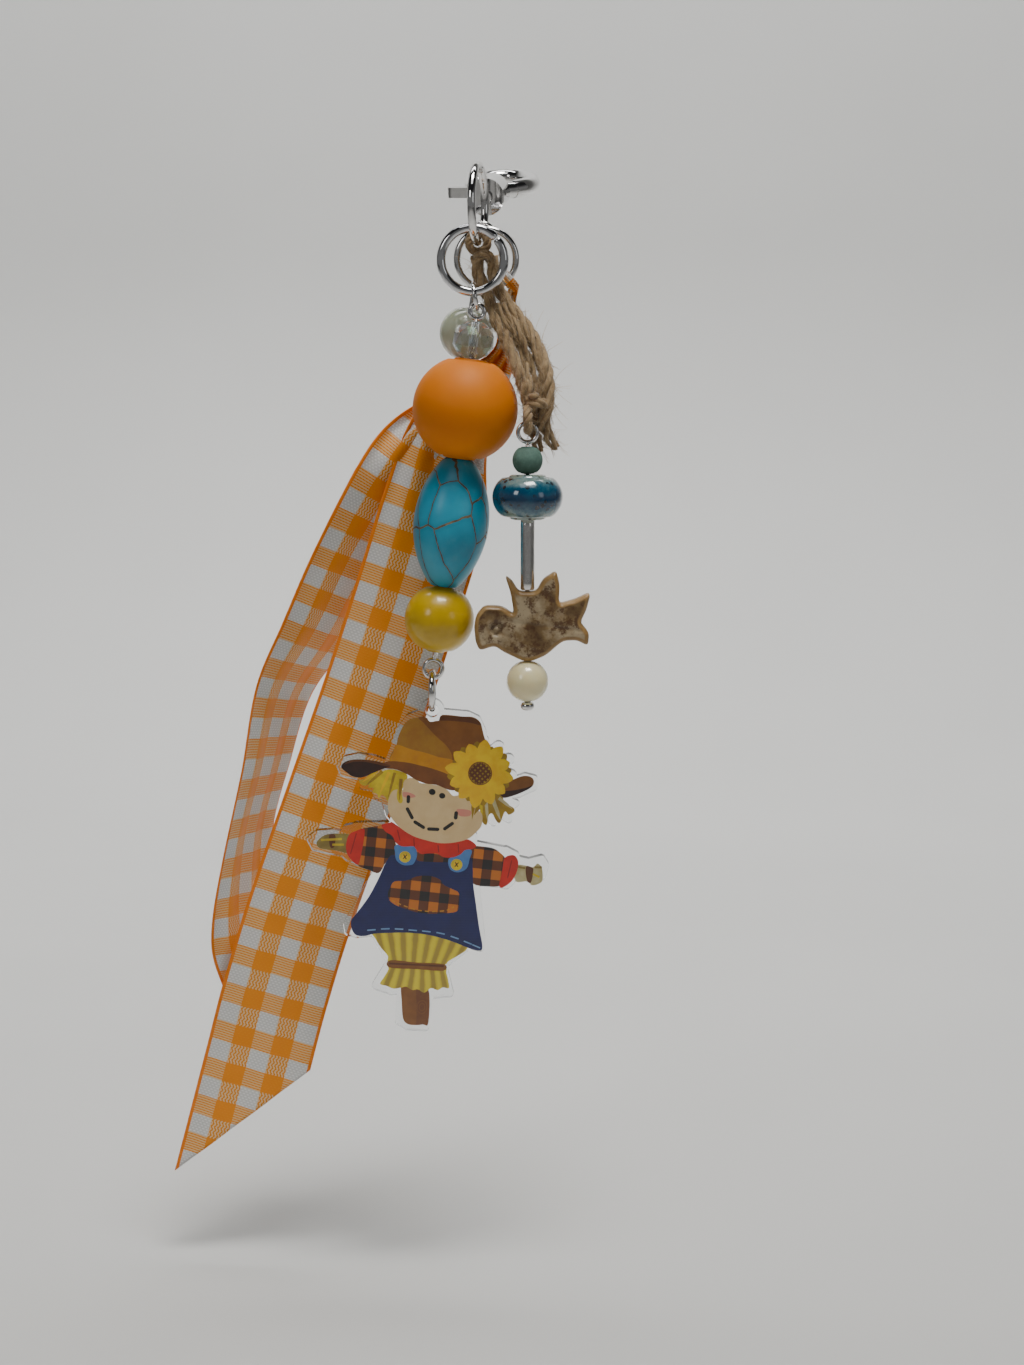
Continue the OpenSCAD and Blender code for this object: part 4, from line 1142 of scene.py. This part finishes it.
INK_TONES = {
    "golden_brown": ((0.47, 0.26, 0.035), (0.42, 0.21, 0.03)),
    "umber": ((0.34, 0.15, 0.026), (0.29, 0.12, 0.02)),
    "bark": ((0.20, 0.075, 0.016), (0.165, 0.058, 0.012)),
    "chocolate": ((0.075, 0.020, 0.008), (0.05, 0.014, 0.006)),
    "amber": ((0.68, 0.35, 0.012), (0.60, 0.28, 0.01)),
    "brown": ((0.30, 0.12, 0.025), (0.24, 0.09, 0.02)),
    "yellow": ((0.92, 0.66, 0.010), (0.84, 0.52, 0.008)),
    "hay": ((0.82, 0.66, 0.02), (0.60, 0.44, 0.02)),
    "ochre": ((0.50, 0.34, 0.02), (0.33, 0.20, 0.02)),
    "skin": ((0.80, 0.62, 0.36), (0.76, 0.57, 0.32)),
    "pink": ((0.76, 0.33, 0.26), (0.72, 0.36, 0.26)),
    "black": ((0.010, 0.009, 0.012), (0.014, 0.012, 0.012)),
    "red": ((0.72, 0.035, 0.012), (0.62, 0.026, 0.010)),
    "crease": ((0.30, 0.012, 0.008), (0.34, 0.014, 0.008)),
    "navy": ((0.006, 0.014, 0.13), (0.009, 0.02, 0.16), 0.5, 0.04),
    "blue": ((0.10, 0.25, 0.52), (0.13, 0.30, 0.58)),
    "stitch": ((0.28, 0.45, 0.70), (0.22, 0.38, 0.62)),
    "dry_straw": ((0.42, 0.34, 0.09), (0.30, 0.22, 0.05)),
    "pale_straw": ((0.66, 0.60, 0.36), (0.52, 0.44, 0.20)),
}
INKS = {name: ink(name, *tones) for name, tones in INK_TONES.items()}
INKS.update(plaid=plaid(), straw=straw_ink(),
            back=ink("back", (0.78, 0.77, 0.74), (0.72, 0.71, 0.68)))


FLOWER = (7.9, -8.3)     # the middle of the sunflower on the hat


def disc(x, z, r, squash=1.0, lean=0.0, count=20):
    c, s = cos(radians(lean)), sin(radians(lean))
    turns = [TAU * k / count for k in range(count)]
    ring = [(r * squash * cos(a), r * sin(a)) for a in turns]
    return [(x + a * c + b * s, z - a * s + b * c) for a, b in ring]


def dash(a, b, width, round_ends):
    """A short thick stroke from a to b."""
    a, b = Vector(a), Vector(b)
    t = (b - a).normalized()
    n = Vector((-t.y, t.x)) * width / 2
    if not round_ends:
        return [tuple(p) for p in (a + n, a - n, b - n, b + n)]
    turns = [pi * k / 6 for k in range(7)]
    start = [a - n * cos(q) - t * width / 2 * sin(q) for q in turns]
    end = [b + n * cos(q) + t * width / 2 * sin(q) for q in turns]
    return [tuple(p) for p in reversed(start + end)]


def petal(angle, outer, wide):
    a, inner = radians(angle), 1.0
    t, n = Vector((cos(a), sin(a))), Vector((-sin(a), cos(a)))
    middle = Vector(FLOWER)
    rows = ((0.0, 0.35), (0.35, 0.85), (0.6, 1.0), (0.82, 0.75), (0.95, 0.32), (1.0, 0.0))
    side = [middle + t * (inner + (outer - inner) * f) + n * wide * w for f, w in rows]
    other = [middle + t * (inner + (outer - inner) * f) - n * wide * w for f, w in rows[-2::-1]]
    return [tuple(p) for p in side + other]


def strand_of_straw(a, b, width):
    """A tapering lock of straw."""
    a, b = Vector(a), Vector(b)
    n = Vector((a.y - b.y, b.x - a.x)).normalized() * width / 2
    return [tuple(p) for p in (a + n, a.lerp(b, 0.6) + 0.8 * n, b, a.lerp(b, 0.6) - 0.8 * n, a - n)]


def smooth_outline(name):
    pts = spline([Vector((x, z, 0)) for x, z in OUTLINES[name]], 4, closed=True)
    return [(p.x, p.y) for p in pts]


def figure_layers():
    """(outline, ink, outline it is cut to) from the bottom up."""
    rows = []

    def lay(tone, cut, *rings):
        rows.extend((ring, tone, cut) for ring in rings)

    def fill(names):
        """Whole outlines, each written as outline:ink or outline:ink:cut."""
        for name in names.split():
            outline, tone, cut = (name + ":").split(":")[:3]
            lay(tone, cut or None, smooth_outline(outline))

    def strokes(tone, cut, width, *ends, round_ends=True):
        lay(tone, cut, *(dash(e[:2], e[2:], width, round_ends) for e in ends))

    def locks(*ends):
        for tone, width, *e in ends:
            lay(tone, None, strand_of_straw(e[:2], e[2:], width))

    fill("post:brown post_dark:umber:post")
    for r in (1.05, 0.62):
        for radius, tone in ((r, "umber"), (r - 0.14, "brown")):
            lay(tone, "post", disc(*Vector((3.3, -43.9)), radius, 0.75, count=24))
    fill("straw_low:straw straw_up:straw tie_w:umber")
    strokes("bark", "tie_w", 0.28, (-2.2, -37.9, 5.8, -37.4), round_ends=False)
    fill("hand_l:dry_straw tie_l:bark hand_r:pale_straw tie_r:bark")
    for tone, *ends in (("hay", (-11.0, -20.2, -14.0, -20.7), (-10.6, -21.0, -12.3, -21.2)),
                        ("dry_straw", (14.9, -21.4, 16, -21.5), (17.3, -21.2, 18.4, -21.1)),
                        ("hay", (17.2, -22.2, 18.2, -22.6))):
        strokes(tone, None, 0.32, *ends, round_ends=False)
    fill("slv_l:plaid slv_r:plaid cuff_l:red cuff_r:red")
    strokes("crease", "cuff_l", 0.14, (-9.0, -19.2, -9.5, -22.2))
    strokes("crease", "cuff_r", 0.14, (13.9, -20.6, 13.6, -23.2))
    fill("blouse:plaid dress:navy pocket:plaid")
    edge = [Vector(p) for p in ((-3.0, -28.4), (-1.2, -29.0), (0.9, -29.5), (3, -29.5),
                                (5.2, -29.1), (6.5, -28.3))]
    for a, b in zip(edge, edge[1:]):
        for f in (0.1, 0.6):
            lay("amber", None, dash(a.lerp(b, f), a.lerp(b, f + 0.28), 0.17, False))
    hem = [Vector(p) for p in ((-5.3, -33.2), (-3.3, -32.8), (-1.3, -32.6), (0.7, -32.55),
                               (2.7, -32.5), (4.8, -32.55), (6.9, -32.95), (8.9, -33.5),
                               (10.2, -33.9))]
    for before, p, after in zip([hem[0]] + hem, hem, hem[1:] + [hem[-1]]):
        t = 0.62 * (after - before).normalized()
        lay("stitch", "dress", dash(p - t, p + t, 0.2, False))
    fill("strap_l:blue strap_r:blue")
    for x, z in ((-1.6, -21.8), (6.0, -22.1)):
        lay("hay", None, disc(x, z, 0.85))
        lay("yellow", None, disc(x, z, 0.42))
        for lean in (radians(35), radians(-35)):
            a = Vector((sin(lean), cos(lean))) * 0.4
            strokes("black", None, 0.15, (x - a.x, z - a.y, x + a.x, z + a.y), round_ends=False)
    fill("collar:red")
    strokes("crease", "collar", 0.16, (-3.1, -18.0, -2.6, -19.4), (-0.6, -19.0, -0.4, -20.2),
            (3.0, -19.6, 3.2, -20.5), (5.9, -19.1, 6.1, -20.2))
    fill("right_brim:umber right_under:chocolate:right_brim hair_r:ochre hair_l:hay")
    locks(("pale_straw", 0.5, 9.2, -12.2, 9.8, -15.3), ("pale_straw", 0.6, 10.2, -12, 11.7, -15),
          ("pale_straw", 0.5, 11, -11.6, 13.2, -13), ("hay", 0.5, 8.4, -12.2, 8.9, -14.9),
          ("ochre", 0.5, -6.2, -9.6, -8.4, -12), ("yellow", 0.5, -5.2, -9.6, -6.3, -13.2),
          ("ochre", 0.4, -4.4, -9.6, -5, -13.6), ("yellow", 0.5, -7, -9.6, -9, -11.6))
    fill("face:skin cheek_l:pink:face cheek_r:pink:face")
    for width, *ends in ((0.52, -2.05, -12.9, -2.0, -13.6), (0.55, 5.1, -14.5, 5.1, -15.2),
                         (0.5, -2.0, -14.7, -1.2, -15.9), (0.5, -0.7, -16.5, 0.6, -17.15),
                         (0.5, 1.4, -17.3, 2.7, -17.2), (0.5, 3.7, -17.0, 4.7, -16.1)):
        strokes("black", None, width, ends)
    lay("black", None, disc(1.3, -11.8, 0.45, 1.1, 10), disc(2.8, -12.2, 0.42, 1.1, 10))
    fill("hair_over:hay")
    locks(("ochre", 0.5, -3.4, -10.4, -3.3, -13.7), ("ochre", 0.7, 7.4, -10.6, 7.5, -15.3),
          ("ochre", 0.9, 6.4, -10.6, 6.9, -12.2))
    fill("crown:golden_brown shade:umber:crown rim_dark:bark:crown band:amber brim:brown "
         "left_brim:chocolate left_rim:bark:left_brim")
    x, z = FLOWER
    for k in range(12):
        lay("ochre", None, petal(30 * k + 12, 4.6 + 0.25 * sin(2.3 * k), 1.0))
    for k in range(12):
        lay("yellow", None, petal(30 * k - 3, 4.9 - 0.3 * sin(1.9 * k), 1.02))
    lay("brown", None, disc(x, z, 1.75))
    lay("ochre", None, disc(x, z, 1.6))
    for k in range(-2, 3):
        reach = sqrt(1.5 ** 2 - (0.55 * k) ** 2)
        for turn in (45, -45):
            c, s = cos(radians(turn)), sin(radians(turn))
            ends = [(x + 0.55 * k * c - r * s, z + 0.55 * k * s + r * c) for r in (-reach, reach)]
            lay("bark", None, dash(*ends, 0.3, False))
    return rows


def printed_figure():
    """One flat film of ink: the outlines are laid over each other, and each small triangle takes
    the ink of the topmost outline that covers it."""
    rows = figure_layers()
    cuts = {name: len(rows) + i for i, name in enumerate(OUTLINES)}
    points, loops = [], []
    for ring in [row[0] for row in rows] + [smooth_outline(name) for name in OUTLINES]:
        turn = sum(a[0] * b[1] - b[0] * a[1] for a, b in zip(ring, ring[1:] + ring[:1]))
        ring = ring if turn > 0 else ring[::-1]
        loops.append(list(range(len(points), len(points) + len(ring))))
        points += [Vector(p) for p in ring]
    pts, _, tris, _, _, sources = delaunay_2d_cdt(points, [], loops, 1, 1e-4)
    inks = list(INKS)
    faces, tones, edges = [], [], set()
    hole = 1.45
    for tri, covers in zip(tris, sources):
        layer = max((i for i in covers if i < len(rows)
                     and (rows[i][2] is None or cuts[rows[i][2]] in covers)), default=-1)
        middle = sum((pts[i] for i in tri), Vector((0, 0))) / 3
        if layer < 0 or middle.length < hole:
            continue
        faces.append(tuple(tri))
        tones.append(inks.index(rows[layer][1]))
        edges.update(zip(tri, tri[1:] + tri[:1]))
    count = len(pts)
    front, back = -0.89, -0.804
    turn = Matrix.Rotation(FIGURE_TILT, 3, "Y")
    verts = [turn @ Vector((p.x, y, p.y)) + PLATE_AT for y in (front, back) for p in pts]
    all_faces = faces + [tuple(count + i for i in reversed(f)) for f in faces]
    materials = tones + [inks.index("back")] * len(faces)
    for f, tone in zip(faces, tones):
        for a, b in zip(f, f[1:] + f[:1]):
            if (b, a) not in edges:
                all_faces.append((a, count + a, count + b, b))
                materials.append(tone)
    me = bpy.data.meshes.new("printed_figure")
    me.from_pydata([tuple(v * MM) for v in verts], [], all_faces)
    for material in INKS.values():
        me.materials.append(material)
    me.polygons.foreach_set("material_index", materials)
    point_values(me, "art", [(p.x, 0.0, p.y) for p in list(pts) * 2])
    bm = bmesh.new()
    bm.from_mesh(me)
    bmesh.ops.delete(bm, geom=[v for v in bm.verts if not v.link_faces], context="VERTS")
    bmesh.ops.recalc_face_normals(bm, faces=bm.faces)
    bm.to_mesh(me)
    bm.free()
    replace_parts(add_object("printed_figure", me, "scarecrow"), "scarecrow_print")


printed_figure()
plate = NODES["scarecrow_plate"].data
plate.materials.clear()
plate.materials.append(acrylic())


# ---- floor, lights, world
def backdrop():
    """A pale floor that curves up into a wall."""
    floor, far, bend, high, wide = -161, 460, 170, 900, 1400
    line = [(-700, floor), (0, floor), (far - bend, floor)]
    line += [(far - bend + bend * sin(a), floor + bend - bend * cos(a))
             for a in [pi / 2 * k / 16 for k in range(1, 17)]]
    line.append((far, high))
    verts = [mm(x, y, z) for y, z in line for x in (-wide, wide)]
    m = Nodes("paper_backdrop")
    m.set(Base_Color=m.ramp(m.noise(9, 3), (0.3, (0.62, 0.62, 0.605)), (0.7, (0.65, 0.65, 0.635))),
          Roughness=0.85, Specular_IOR_Level=0.2)
    o = add_object("backdrop", mesh_of("backdrop", verts, grid(len(line), 2)))
    o.data.materials.append(m.material)


backdrop()


def softbox(name, at, target, size, power, colour=(1, 1, 1), spread=180):
    data = bpy.data.lights.new(name, "AREA")
    data.spread = radians(spread)
    data.shape = "RECTANGLE"
    data.size, data.size_y = size[0] * MM, size[1] * MM
    data.energy = power
    data.color = colour
    o = bpy.data.objects.new(name, data)
    bpy.context.collection.objects.link(o)
    o.location = mm(*at)
    o.rotation_euler = (mm(*target) - mm(*at)).to_track_quat("-Z", "Y").to_euler()


softbox("overhead", (60, -150, 520), (0, -20, -60), (240, 180), 0.95, (1.0, 0.98, 0.95), 100)
softbox("front_left", (-520, -620, 330), (0, 0, -60), (200, 260), 0.16, (1.0, 0.99, 0.97), 90)
softbox("front_right", (560, -560, 160), (0, 0, -60), (200, 300), 0.05, (0.96, 0.98, 1.0), 90)
softbox("floor_glow", (0, -380, 700), (0, -380, -160), (600, 360), 1.3)
softbox("backdrop_glow", (0, 190, 560), (0, 460, -20), (700, 160), 2.4, spread=110)

world = bpy.data.worlds.new("studio")
world.use_nodes = True
sky = world.node_tree
height = sky.nodes.new("ShaderNodeSeparateXYZ")
sky.links.new(sky.nodes.new("ShaderNodeTexCoord").outputs["Generated"], height.inputs[0])
level = sky.nodes.new("ShaderNodeMath")
level.operation = "MULTIPLY_ADD"
level.inputs[1].default_value = level.inputs[2].default_value = 0.5
sky.links.new(height.outputs[2], level.inputs[0])
# a pale horizon under a dark ceiling, which polished metal shows as bright and black bands
fade = sky.nodes.new("ShaderNodeValToRGB")
stops = fade.color_ramp.elements
stops[0].position, stops[0].color = 0.60, (0.16, 0.16, 0.158, 1)
stops[1].position, stops[1].color = 0.76, (0.015, 0.015, 0.016, 1)
sky.links.new(level.outputs[0], fade.inputs[0])
sky.links.new(fade.outputs[0], sky.nodes["Background"].inputs[0])
bpy.context.scene.world = world
